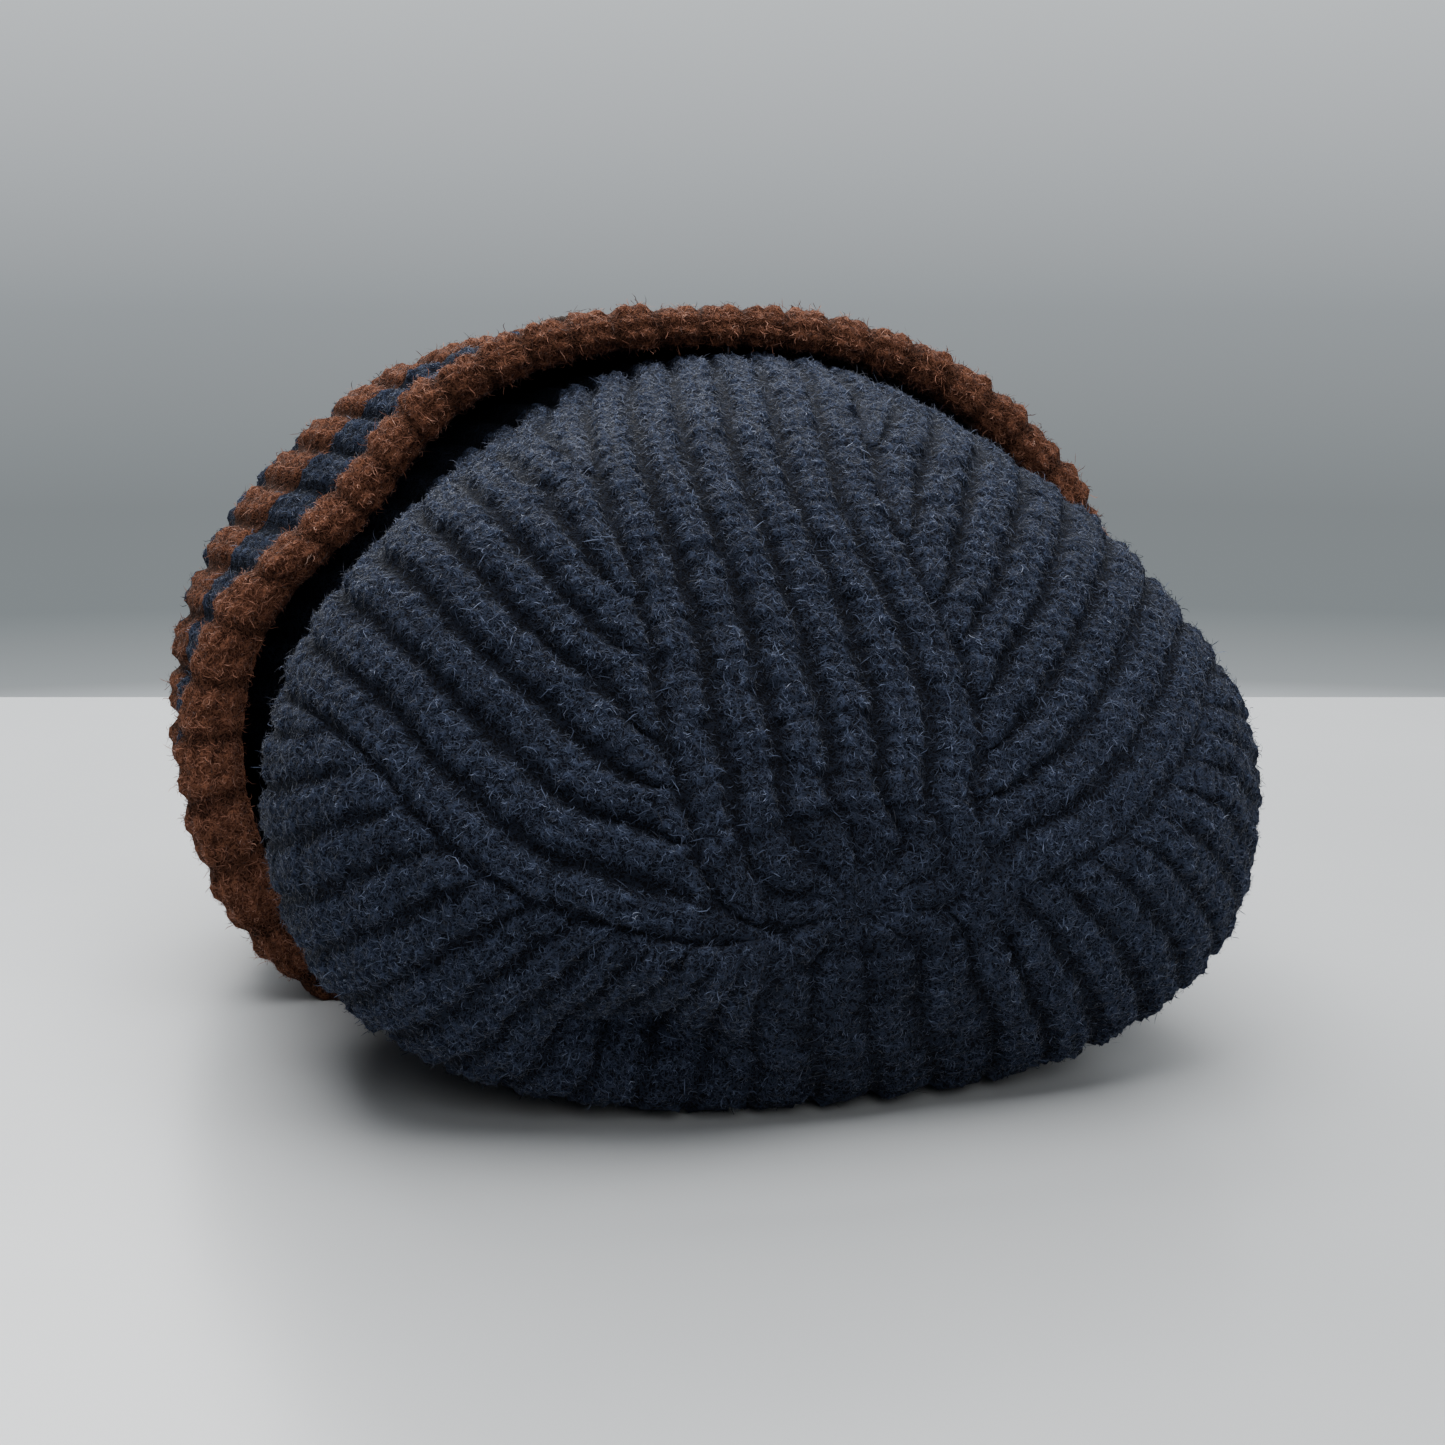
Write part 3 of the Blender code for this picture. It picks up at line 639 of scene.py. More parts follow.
def rib_shares(along):
    """The width of each rib, 1 for a whole one, from the middle of the underside round."""
    row = run_row(along)
    half_panel = np.ones(BOTTOM_PANEL_RIBS // 2)
    runs = []
    for name, ribs in (("left_low", LEFT_LOW_RIBS), ("left_high", LEFT_HIGH_RIBS),
                       ("right_high", RIGHT_HIGH_RIBS), ("right_low", RIGHT_LOW_RIBS)):
        widths = np.clip(row[name] - np.arange(ribs), 0.0, 1.0)
        widths[widths < THINNEST_RIB] = 0.0
        runs.append(widths if name.startswith("left") else widths[::-1])
    return np.concatenate([half_panel, *runs[:2], np.ones(TOP_PANEL_RIBS), *runs[2:], half_panel])


def rib_edges(along):
    """Where the valleys between ribs lie around the girth, with the last one at the first."""
    row = run_row(along)
    middle = (row["bottom_left"] + row["bottom_right"] - 1.0) / 2
    lines = [middle, row["bottom_left"], row["low_left"], row["high_left"], row["high_right"],
             row["low_right"], row["bottom_right"], middle + 1.0]
    counts = [BOTTOM_PANEL_RIBS // 2, LEFT_LOW_RIBS, LEFT_HIGH_RIBS, TOP_PANEL_RIBS,
              RIGHT_HIGH_RIBS, RIGHT_LOW_RIBS, BOTTOM_PANEL_RIBS // 2]
    edges, first = [[middle]], 0
    shares = rib_shares(along)
    for low, high, count in zip(lines, lines[1:], counts):
        widths = shares[first:first + count]
        edges.append(low + (high - low) * np.cumsum(widths) / max(widths.sum(), THINNEST_RIB))
        first += count
    return np.concatenate(edges)


def flare(from_fold, around):
    """How far the turn-up stands off the crown beyond the layer gap, rows by places."""
    at = np.clip(np.atleast_1d(from_fold) / CUFF_DEPTH, 0.0, 1.0)
    cells = through_rows(FLARES, np.array(FLARE_FROM_FOLD), at)
    places = np.array(FLARE_AROUND)
    places = np.concatenate([places - 1.0, places, places + 1.0])
    out = [through_rows(np.tile(row, 3), places, np.mod(around, 1.0)) for row in cells]
    return CUFF_FLARE * np.maximum(np.array(out), 0.0)


class Stitches:
    """The relief of the knit: valleys between ribs, and two columns of stitches to a rib."""

    def __init__(self, sizes):
        self.valley = sizes.valley_depth
        self.stitch_length = sizes.stitch_length
        self.rise = sizes.stitch_rise
        self.groove = sizes.column_groove
        self.lump = sizes.lump_rise
        self.chance = np.random.default_rng(sizes.seed).random((RIBS, 2, CHANCES, 3))

    def stitch(self, rib, side, across, length):
        """The bulge along a stitch, its cover across the column and the column's hollow."""
        from_column = (across - np.array(COLUMN_MIDDLES)[side]) / COLUMN_HALF
        slant = STITCH_SLANT * np.minimum(np.abs(from_column), SLANT_REACH)
        phase = length / self.stitch_length - slant
        number = np.floor(phase).astype(int)
        chance = self.chance[rib, side, number % CHANCES]
        phase = phase + STITCH_SHIFT * (chance[..., 1] - 0.5)
        fullness = FULLNESS[0] + FULLNESS[1] * chance[..., 0]
        bulge = wave(phase - number) ** BULGE_POWER * fullness
        reach = np.clip(from_column, -COLUMN_REACH, COLUMN_REACH)
        cover = np.cos(reach * np.pi / COLUMN_ARC) ** COVER_POWER
        return bulge, cover, np.exp(-(from_column / HOLLOW_REACH) ** 2)

    def swelling(self, rib, length):
        """The slow, uneven swelling along a rib."""
        long, slow, short = (np.sin(2 * np.pi * (length / repeat + rib * shift))
                             for repeat, shift in SWELLINGS)
        return long * slow + SHORT_SWELLING * short

    def read(self, rib, across, length, deep, pitch):
        """Height over the cloth's face, and how high it counts, from 0 in a valley to 1, which sets
        the painted shade of valleys, grooves and gaps between stitches, and the nap's thickness.

        Deep is the share of the valleys' depth that is left, and pitch the rib's width.
        """
        fade = np.minimum(1.0, pitch / NARROW_RIB)
        side = (across > 0.5).astype(int)
        row = np.floor(length / self.stitch_length).astype(int)
        uneven = self.chance[rib, side, row % CHANCES, 2] - 0.5
        from_middle = np.abs(2 * across - 1)
        place = from_middle + VALLEY_WANDER * uneven * from_middle * (1 - from_middle) * 4
        valley = ease(place, VALLEY_START + FLAT_LATER * (1 - deep), VALLEY_FLOOR)
        groove = np.exp(-(from_middle / GROOVE_REACH) ** 2)
        bulge, cover, hollow = self.stitch(rib, side, across, length)
        sunk = deep * fade
        height = -(self.valley * valley + self.groove * groove) * sunk
        height = height + self.rise * fade * (bulge * cover - HOLLOW_DEPTH * hollow - MEAN_RISE)
        height = height + self.lump * self.swelling(rib, length) * (1 - valley)
        # Painted shade: a shallow valley between two ribs is painted nearly as dark as a deep one, and
        # the groove of a rib and the gaps between stitches are painted darker too
        high = 1 - valley * fade * (SHALLOW_SHADE + (1 - SHALLOW_SHADE) * deep)
        high = high * (1 - GROOVE_SHADE * groove * deep)
        high = high * (BETWEEN_STITCHES + (1 - BETWEEN_STITCHES) * bulge * cover)
        return height, np.clip(high, 0.0, 1.0)


class Cloth:
    """Rows of corners that become one closed mesh, the last row joined to the first.

    A row lists, for every column of the densest row, the corner that stands for it, so that
    rows of different fineness can be joined.
    """

    def __init__(self):
        self.points, self.high, self.nap, self.rows = [], [], [], []
        self.count = 0

    def add_row(self, points, numbers, level, high, nap=None):
        """Add a row at a level of the picture map, with its values for the painted shade and the nap.
        """
        size = len(points)
        self.points.append(points)
        self.high.append(high)
        self.nap.append(np.zeros(size) if nap is None else nap)
        self.rows.append((np.asarray(numbers) + self.count, level))
        self.count += size

    def corners(self):
        """Faces as corner numbers, and the places of their corners on the picture map."""
        total = len(self.rows[0][0])
        place = np.arange(total) / total
        nexts = place + 1 / total
        faces, maps = [], []
        for (low, low_level), (high, high_level) in zip(self.rows, self.rows[1:] + self.rows[:1]):
            if high_level < low_level:
                high_level = low_level + CLOSING_MAP
            quad = np.stack([low, high, np.roll(high, -1), np.roll(low, -1)], axis=1)
            levels = np.array([low_level, high_level, high_level, low_level])
            across = np.stack([place, place, nexts, nexts], axis=1)
            spot = np.stack([across, np.broadcast_to(levels, across.shape)], axis=2)
            same_low, same_high = quad[:, 0] == quad[:, 3], quad[:, 1] == quad[:, 2]
            whole = ~same_low & ~same_high
            for keep, order in ((whole, (0, 1, 2, 3)), (same_low & ~same_high, (0, 1, 2)),
                                (same_high & ~same_low, (0, 1, 3))):
                faces.append(quad[keep][:, order])
                maps.append(spot[keep][:, order])
        return faces, maps

    def piece(self, name, material):
        """The mesh object, shaded smooth, with its attributes and its own map."""
        faces, maps = self.corners()
        sizes = np.concatenate([np.full(len(group), group.shape[1]) for group in faces])
        mesh = bpy.data.meshes.new(name)
        points = np.concatenate(self.points) + np.array(SETTLED)
        mesh.vertices.add(len(points))
        mesh.vertices.foreach_set("co", points.astype(np.float32).ravel())
        mesh.loops.add(int(sizes.sum()))
        mesh.loops.foreach_set("vertex_index", np.concatenate([g.ravel() for g in faces]))
        mesh.polygons.add(len(sizes))
        starts = np.concatenate([[0], np.cumsum(sizes)[:-1]])
        mesh.polygons.foreach_set("loop_start", starts)
        mesh.update(calc_edges=True)
        layer = mesh.uv_layers.new(name="OFBake")
        layer.uv.foreach_set("vector", np.concatenate([m.reshape(-1) for m in maps]))
        for label, values in (("high", self.high), ("nap", self.nap)):
            attribute = mesh.attributes.new(label, "FLOAT", "POINT")
            attribute.data.foreach_set("value", np.concatenate(values).astype(np.float32))
        return link_piece(name, mesh, material, SHARP_KNIT)


def link_piece(name, mesh, material, sharp):
    """The object of a finished mesh, smooth but for edges sharper than an angle."""
    mesh.materials.append(material)
    mesh.shade_smooth()
    mesh.set_sharp_from_angle(angle=sharp)
    piece = bpy.data.objects.new(name, mesh)
    bpy.context.scene.collection.objects.link(piece)
    return piece


def row_columns(along, coarseness):
    """One row's ribs: rib numbers, shares across the rib, places, widths, shares of a whole
    rib, and the corner that stands for each column of the densest row."""
    edges, shares = rib_edges(along), rib_shares(along)
    ribs, across, numbers = [], [], []
    for rib in range(RIBS):
        step = coarseness[rib] if np.ndim(coarseness) else coarseness
        for index, share in enumerate(ACROSS):
            kept = shares[rib] > 0.0 and index % step == 0
            inside = shares[rib] > 0.0 and index % step > 0
            numbers.append(len(ribs) - 1 if inside else len(ribs))
            if kept:
                ribs.append(rib)
                across.append(share)
    ribs, across = np.array(ribs), np.array(across)
    width = np.diff(edges)[ribs]
    numbers = np.mod(numbers, len(ribs))
    return ribs, across, edges[ribs] + across * width, width, shares[ribs], numbers


def underside_of(along):
    """Which ribs lie under the hat."""
    edges = rib_edges(along)
    middle = (edges[1:] + edges[:-1]) / 2
    return (middle < UNDERSIDE[0]) | (middle > UNDERSIDE[1])


def crown_coarseness(along):
    """The step between the corners kept on each rib, 1 where the crown is seen."""
    if along < CROWN_SEEN_FROM:
        return np.full(RIBS, HIDDEN_STEP)
    if along > SPARSE_FROM:
        return np.full(RIBS, SPARSE_STEP)
    return np.where(underside_of(along), SPARSE_STEP, 1)


def pressed(points, lowest=0.0):
    """The cloth flattened where it rests."""
    points = points.copy()
    points[..., 2] = np.maximum(points[..., 2], lowest)
    return points


def nap_over(high, points, least):
    """How thick the nap stands: thinner in the valleys and worn off where the hat rests."""
    return (least + (1 - least) * high) * ease(points[..., 2], *RESTS_BELOW)


def rib_depth(along, around):
    """Share of the valleys' depth that is left where the cloth is stretched."""
    depth = np.ones(len(around))
    for level, place, length, width, share in STRETCHED:
        aside = way_round(around, place)
        depth -= share * np.exp(-((along - level) / length) ** 2 - (aside / width) ** 2)
    return np.maximum(depth, LEAST_DEPTH)


def crown_rows(form, stitch):
    """Places along for the rows of the crown's outer face, sparse under the turn-up."""
    step = stitch / ROWS_A_STITCH / form.top_line
    start = FOLD_RADIUS / form.top_line
    hidden = np.linspace(start, CROWN_SEEN_FROM, HIDDEN_ROWS)[:-1]
    seen = np.arange(CROWN_SEEN_FROM, LAST_OUTER_ROW, step)
    return np.concatenate([hidden, seen])


def knit_outer_face(cloth, form, stitches, rows):
    """The crown's ribbed outer face, from the brim fold to the gather."""
    for along in rows:
        ribs, across, around, width, shares, numbers = row_columns(along, crown_coarseness(along))
        level = np.full(len(ribs), along)
        height, high = stitches.read(ribs, across, along * form.top_line, rib_depth(along, around),
                                     width * form.girth(along))
        body = np.minimum(1.0, shares / FULL_RIB)
        height = height * body - (1.0 - body) * stitches.valley * LOW_RIB_DROP
        points = pressed(form.point(level, around, height - form.crease(level, around)))
        nap = nap_over(high, points, CROWN_VALLEY_NAP) * ease(along, *NAP_FROM)
        cloth.add_row(points, numbers, OUTER_MAP * along, high, nap)


def draw_gather(cloth, form):
    """The two points that close the outer and the inner face at the gather."""
    numbers = np.zeros(len(cloth.rows[0][0]), int)
    high = np.array([GATHER_HIGH])
    for drop, level, nap in ((GATHER_DROP, GATHER_MAP[0], GATHER_NAP), (WALL, GATHER_MAP[1], 0.0)):
        pole = form.point(np.array([1.0]), np.array([0.0]), np.array([-drop]))
        cloth.add_row(pole, numbers, level, high, np.array([nap]))


def knit_inner_face(cloth, form, stitches, first):
    """The crown's inner face, from the gather back to the brim fold."""
    for along in np.linspace(LAST_INNER_ROW, first, INNER_ROWS):
        ribs, across, around, width, _, numbers = row_columns(along, SPARSE_STEP)
        fade = np.minimum(1.0, width * form.girth(along) / NARROW_RIB)
        # Seen from inside, the outer valleys stand up as ribs
        bump = ease(np.abs(2 * across - 1), INNER_VALLEY, 1.0) * fade
        turns = along * form.top_line / stitches.stitch_length / 2 + 0.5 * ribs
        height = -WALL - (INNER_RISE * bump - INNER_SUNK) - INNER_WAVE * wave(turns) * bump
        points = pressed(form.point(np.full(len(ribs), along), around, height), WALL / 2)
        level = INNER_MAP[0] + INNER_MAP[1] * (1 - along)
        cloth.add_row(points, numbers, level, INNER_HIGH[0] + INNER_HIGH[1] * bump)


def knit_crown(form, stitches, material):
    """The body of the hat as one closed piece of rib knit, with its inner face."""
    cloth = Cloth()
    rows = crown_rows(form, stitches.stitch_length)
    knit_outer_face(cloth, form, stitches, rows)
    draw_gather(cloth, form)
    knit_inner_face(cloth, form, stitches, rows[0])
    return cloth.piece("crown_knit", material)


def turn_up_path(stitch):
    """The turn-up's outer side from the inside of the brim fold to the lip of the roll.

    Returns rows of from_fold, height, flared, ribbed and length travelled.
    """
    inner, outer = LAYER_GAP, LAYER_GAP + WALL
    marks = []
    for turn in range(FOLD_TURNS + 1):
        angle = np.pi * (1 - turn / FOLD_TURNS)
        marks.append((FOLD_RADIUS - FOLD_RADIUS * np.sin(angle),
                      LAYER_GAP / 2 + FOLD_RADIUS * np.cos(angle), 0.0,
                      FOLD_RELIEF[0] + FOLD_RELIEF[1] * turn))
    for from_fold in FLAT_MARKS:
        marks.append((from_fold, outer, 1.0, 1.0))
    marks.append((EDGE_START, outer + ROLL_STEP, 1.0, 1.0))
    between = (EDGE_START + (CUFF_DEPTH - EDGE_ROUND)) / 2
    marks.append((between, inner + (EDGE_THICK + WALL) / 2, 1.0, 1.0))
    for back, out, flared, ribbed in ROLL:
        marks.append((CUFF_DEPTH - back * EDGE_ROUND, inner + out * EDGE_THICK, flared, ribbed))
    marks = np.array(marks)
    length = travelled(marks[:, :2])
    even = np.linspace(0.0, length[-1], round(length[-1] / stitch * ROWS_A_STITCH) + 1)
    return np.column_stack([through_rows(marks, length, even), even])


def turn_up_surface(form, stitches, path):
    """Points, how high each counts for the painted shade, nap and corner numbers of the turn-up's
    outer side.
    """
    fine = np.where(underside_of(0.0), SPARSE_STEP, 1)
    ribs, across, around, width, _, numbers = row_columns(0.0, fine)
    from_fold = np.repeat(path[:, :1], len(around), axis=1)
    places = np.broadcast_to(around, from_fold.shape)
    stand = path[:, 1:2] + path[:, 2:3] * flare(path[:, 0], around)
    points = form.off_crown(from_fold, places, stand)
    normals = outward(points)
    pitch = np.broadcast_to(width * form.girths.max(), places.shape)
    rolled = ease(path[:, :1], EDGE_START - ROLL_BLEND[0], EDGE_START + ROLL_BLEND[1])
    deep = TURN_UP_DEPTH + (ROLL_DEPTH - TURN_UP_DEPTH) * rolled
    height, high = stitches.read(np.broadcast_to(ribs, places.shape),
                                 np.broadcast_to(across, places.shape),
                                 np.repeat(path[:, 4:5], len(around), axis=1), deep, pitch)
    height = height + ROLL_LUMPS * rolled * (high - MIDDLING_HIGH)
    height = height * np.clip(path[:, 3:4], 0.0, 1.0)
    points = pressed(points + normals * height[..., None])
    return points, high, nap_over(high, points, TURN_UP_VALLEY_NAP), numbers


def turn_up_back(name, near, far):
    """The hidden side of one band of the turn-up, from its far edge back to the fold, as
    from_fold, height and how much of the flare each row takes."""
    if name == "turn_up_roll":
        return [(near, LAYER_GAP, 1.0)]
    if name == "turn_up_base":
        return [(far, LAYER_GAP, 1.0), (BASE_MARK * far, LAYER_GAP, 1.0),
                (FOLD_RADIUS, LAYER_GAP, 0.0), (FOLD_RADIUS, 0.0, 0.0)]
    return [(far, LAYER_GAP, 1.0), ((near + far) / 2, LAYER_GAP, 1.0), (near, LAYER_GAP, 1.0)]


def inner_row(form, from_fold, height, flared):
    """A sparse row of the turn-up's hidden side, which faces the crown."""
    _, _, around, _, _, numbers = row_columns(0.0, HIDDEN_STEP)
    stand = height + flared * flare(from_fold, around)[0]
    places = np.full(len(around), from_fold)
    return pressed(form.off_crown(places, around, stand)), numbers


def knit_turn_up(form, stitches, materials):
    """The turn-up's four bands of colour, each a closed ring of rib knit."""
    path = turn_up_path(stitches.stitch_length)
    points, high, nap, numbers = turn_up_surface(form, stitches, path)
    over_fold = np.argmax(path[:, 1] > LAYER_GAP + PAST_FOLD * WALL)
    starts = [0]
    for start in (BROWN_START, NAVY_START, EDGE_START):
        starts.append(over_fold + int(np.argmax(path[over_fold:, 0] > start)))
    starts.append(len(path) - 1)
    bands = ("turn_up_base", "turn_up_brown_stripe", "turn_up_navy_stripe", "turn_up_roll")
    pieces = []
    for name, material, first, last in zip(bands, materials, starts, starts[1:]):
        cloth = Cloth()
        for row in range(first, last + 1):
            level = BAND_MAP * (row - first) / (last - first)
            cloth.add_row(points[row], numbers, level, high[row], nap[row])
        back = turn_up_back(name, path[first, 0], path[last, 0])
        for turn, (from_fold, height, flared) in enumerate(back):
            corners, marks = inner_row(form, from_fold, height, flared)
            level = BACK_MAP[0] + BACK_MAP[1] * turn / len(back)
            cloth.add_row(corners, marks, level, np.full(len(corners), BACK_HIGH))
        pieces.append(cloth.piece(name, material))
    return pieces


def patch_place(form, across, down, height):
    """Places on the patch, given as shares of its size from its middle, at a height over its
    lower face."""
    from_fold = CUFF_DEPTH - LABEL_FROM_EDGE - LABEL_DEPTH * (0.5 + down)
    girth = form.girth((CUFF_DEPTH - LABEL_FROM_EDGE) / form.top_line)
    around = 0.5 + across * LABEL_LENGTH / girth
    stands = flare(from_fold[:, 0], around[0])
    seat = LAYER_GAP + WALL + FIT_GAP
    return form.off_crown(from_fold, around, seat + stands + height)


def patch_grid():
    """The patch's corners as two grids of shares, with the four corners of the cloth rounded,
    and each corner's distance from the nearest edge."""
    across, down = np.meshgrid(np.linspace(-0.5, 0.5, PATCH_STEPS + 1),
                               np.linspace(-0.5, 0.5, PATCH_ROWS + 1))
    edge = np.minimum((0.5 - np.abs(across)) * LABEL_LENGTH, (0.5 - np.abs(down)) * LABEL_DEPTH)
    start_across = 0.5 - PATCH_CORNER / LABEL_LENGTH
    start_down = 0.5 - PATCH_CORNER / LABEL_DEPTH
    over = np.clip((np.abs(across) - start_across) / (0.5 - start_across), 0.0, 1.0)
    under = np.clip((np.abs(down) - start_down) / (0.5 - start_down), 0.0, 1.0)
    round_off = np.maximum(over, under) / np.maximum(np.hypot(over, under), 1e-6)
    round_off = np.where((over > 0) & (under > 0), round_off, 1.0)
    across = np.where(over > 0, np.sign(across) * (start_across + (0.5 - start_across)
                                                   * over * round_off), across)
    down = np.where(under > 0, np.sign(down) * (start_down + (0.5 - start_down)
                                                * under * round_off), down)
    return across, down, edge


def patch_faces():
    """Faces of the patch's upper side, its lower side and the rim between them."""
    count = PATCH_STEPS + 1
    layer = count * (PATCH_ROWS + 1)
    corner = np.arange(layer).reshape(PATCH_ROWS + 1, count)
    cell = np.stack([corner[:-1, :-1], corner[:-1, 1:], corner[1:, 1:], corner[1:, :-1]], axis=-1)
    cell = cell.reshape(-1, 4)
    rim = np.concatenate([corner[0], corner[1:, -1], corner[-1, -2::-1], corner[-2:0:-1, 0]])
    after = np.roll(rim, -1)
    wall = np.stack([rim, rim + layer, after + layer, after], axis=1)
    return np.concatenate([cell, cell[:, ::-1] + layer, wall]).tolist()


def sew_patch(form, material):
    """A blank woven patch with a turned hem, over the crests of the turn-up's ribs."""
    across, down, edge = patch_grid()
    dome = np.sqrt(1 - (1 - np.clip(edge / PATCH_ROUND, 0.0, 1.0)) ** 2)
    hem = np.exp(-((edge - PATCH_HEM / 2) / (HEM_REACH * PATCH_HEM)) ** 2)
    pitch = form.girths.max() / RIBS
    sag = wave(across * LABEL_LENGTH / pitch)
    top = LABEL_THICK * (PATCH_EDGE + (PATCH_DOME - PATCH_SAG * sag) * dome
                         + HEM_RISE * dome * hem)
    grids = [patch_place(form, across, down, top),
             patch_place(form, across, down, np.zeros(across.shape))]
    mesh = bpy.data.meshes.new("woven_patch")
    points = np.concatenate([grid.reshape(-1, 3) for grid in grids]) + np.array(SETTLED)
    mesh.from_pydata(points, [], patch_faces())
    spots = np.column_stack([(across * LABEL_LENGTH).ravel(), (down * LABEL_DEPTH).ravel(),
                             np.zeros(across.size)])
    spots = np.concatenate([spots, spots])
    weave = mesh.attributes.new("weave", "FLOAT_VECTOR", "POINT")
    weave.data.foreach_set("vector", spots.astype(np.float32).ravel())
    layer_map = mesh.uv_layers.new(name="OFBake")
    for loop in mesh.loops:
        x, y, _ = spots[loop.vertex_index]
        below = 0.5 if loop.vertex_index >= across.size else 0.0
        layer_map.uv[loop.index].vector = (0.5 + PATCH_MAP * x / LABEL_LENGTH,
                                           0.25 + PATCH_MAP / 2 * y / LABEL_DEPTH + below)
    return link_piece("woven_patch", mesh, material, SHARP_PATCH)


def seam_path(form):
    """One point to each stitch of the patch's seam, with the way ahead and the way up."""
    half = np.array([LABEL_LENGTH, LABEL_DEPTH]) / 2 - PATCH_HEM
    corners = np.array([(-1, -1), (1, -1), (1, 1), (-1, 1), (-1, -1)]) * half
    points, aheads, ups = [], [], []
    for start, end in zip(corners, corners[1:]):
        length = np.linalg.norm(end - start)
        count = round(length / SEAM_PITCH)
        way = (end - start) / length
        for number in range(count):
            place = start + (end - start) * (number + 0.5) / count
            steps = np.array([place - way * MM, place + way * MM])
            shares = steps / (LABEL_LENGTH, LABEL_DEPTH)
            near, low = ([patch_place(form, share[:1, None], share[1:, None],
                                      np.full((1, 1), height))[0, 0] for share in shares]
                         for height in (LABEL_THICK * SEAM_HEIGHT, 0.0))
            points.append((near[0] + near[1]) / 2)
            aheads.append(unit(near[1] - near[0]))
            ups.append(unit(near[0] - low[0]))
    return np.array(points) + np.array(SETTLED), np.array(aheads), np.array(ups)


def thread_shape(length, thickness):
    """One stitch of thread: a rounded bar along X that dips at both ends."""
    points, faces = [], []
    for ahead, fat, drop in THREAD_RINGS:
        for side in range(THREAD_SIDES):
            angle = 2 * math.pi * side / THREAD_SIDES
            points.append((ahead * length, math.cos(angle) * fat * thickness / 2,
                           math.sin(angle) * fat * thickness / 2 + drop * thickness))
    for ring in range(len(THREAD_RINGS) - 1):
        for side in range(THREAD_SIDES):
            here = ring * THREAD_SIDES + side
            there = ring * THREAD_SIDES + (side + 1) % THREAD_SIDES
            faces.append((here, there, there + THREAD_SIDES, here + THREAD_SIDES))
    faces.append(tuple(range(THREAD_SIDES))[::-1])
    faces.append(tuple(range(len(points) - THREAD_SIDES, len(points))))
    mesh = bpy.data.meshes.new("seam_stitch")
    mesh.from_pydata(points, [], faces)
    mesh.shade_smooth()
    holder = bpy.data.collections.new("seam_stitch")
    holder.objects.link(bpy.data.objects.new("seam_stitch", mesh))
    return holder


def feed(tree, node, inputs):
    """Set a node's inputs to values, or link them to the outputs of other nodes."""
    for socket, source in inputs.items():
        target = node.inputs[socket]
        if isinstance(source, bpy.types.NodeSocket):
            tree.links.new(source, target)
        else:
            target.default_value = source


def add(tree, kind, inputs=None, **settings):
    """Add a node with its settings and its inputs."""
    node = tree.nodes.new(kind)
    for name, value in settings.items():
        setattr(node, name, value)
    feed(tree, node, inputs or {})
    return node


def new_tree(name, made, takes):
    """A tree that takes one mesh and its named inputs, and makes one mesh. Returns the tree
    and what it is given."""
    tree = bpy.data.node_groups.new(name, "GeometryNodeTree")
    tree.interface.new_socket(made, in_out="OUTPUT", socket_type="NodeSocketGeometry")
    for label, kind in takes:
        tree.interface.new_socket(label, in_out="INPUT", socket_type=f"NodeSocket{kind}")
    return tree, add(tree, "NodeGroupInput").outputs


def seam_tree():
    """Lays one stitch on every point, along its ahead and up attributes."""
    tree, given = new_tree("running_seam", "Seam", (
        ("Path", "Geometry"), ("Stitch Shape", "Collection"), ("Thread", "Material")))
    ahead = add(tree, "GeometryNodeInputNamedAttribute", {"Name": "ahead"},
                data_type="FLOAT_VECTOR")
    up = add(tree, "GeometryNodeInputNamedAttribute", {"Name": "up"}, data_type="FLOAT_VECTOR")
    standing = add(tree, "FunctionNodeAlignRotationToVector", {"Vector": up.outputs[0]}, axis="Z")
    way = add(tree, "FunctionNodeAlignRotationToVector",
              {"Rotation": standing.outputs[0], "Vector": ahead.outputs[0]}, axis="X",
              pivot_axis="Z")
    shape = add(tree, "GeometryNodeCollectionInfo", {"Collection": given["Stitch Shape"]})
    placed = add(tree, "GeometryNodeInstanceOnPoints",
                 {"Points": given["Path"], "Instance": shape.outputs[0],
                  "Rotation": way.outputs[0]})
    real = add(tree, "GeometryNodeRealizeInstances", {"Geometry": placed.outputs[0]})
    dyed = add(tree, "GeometryNodeSetMaterial",
               {"Geometry": real.outputs[0], "Material": given["Thread"]})
    add(tree, "NodeGroupOutput", {"Seam": dyed.outputs[0]})
    return tree


def sew_seam(form, material):
    """The stitches that hold the patch."""
    points, aheads, ups = seam_path(form)
    mesh = bpy.data.meshes.new("patch_seam")
    mesh.from_pydata(points, [], [])
    for label, values in (("ahead", aheads), ("up", ups)):
        attribute = mesh.attributes.new(label, "FLOAT_VECTOR", "POINT")
        attribute.data.foreach_set("vector", values.astype(np.float32).ravel())
    shape = thread_shape(SEAM_STITCH * SEAM_PITCH, THREAD_THICK)
    piece = from_nodes("patch_seam", mesh, seam_tree(), {
        "Stitch Shape": shape, "Thread": material})
    clear(shape)
    return piece


def new_material(name):
    """A material with an empty tree, its Principled shader, and the tree itself."""
    material = bpy.data.materials.new(name)
    material.use_nodes = True
    tree = material.node_tree
    tree.nodes.clear()
    shader = add(tree, "ShaderNodeBsdfPrincipled")
    output = add(tree, "ShaderNodeOutputMaterial", {"Surface": shader.outputs[0]})
    output.is_active_output = True
    return material, tree, shader


def shades(tree, value, stops):
    """A colour that runs through stops over a value. A stop is a place and a hex colour, or
    the linear colour of a setting."""
    node = add(tree, "ShaderNodeValToRGB", {"Fac": value})
    elements = node.color_ramp.elements
    while len(elements) < len(stops):
        elements.new(0.5)
    for element, (place, colour) in zip(elements, stops):
        element.position = place
        element.color = (*(linear(colour) if isinstance(colour, str) else colour), 1.0)
    return node.outputs["Color"]


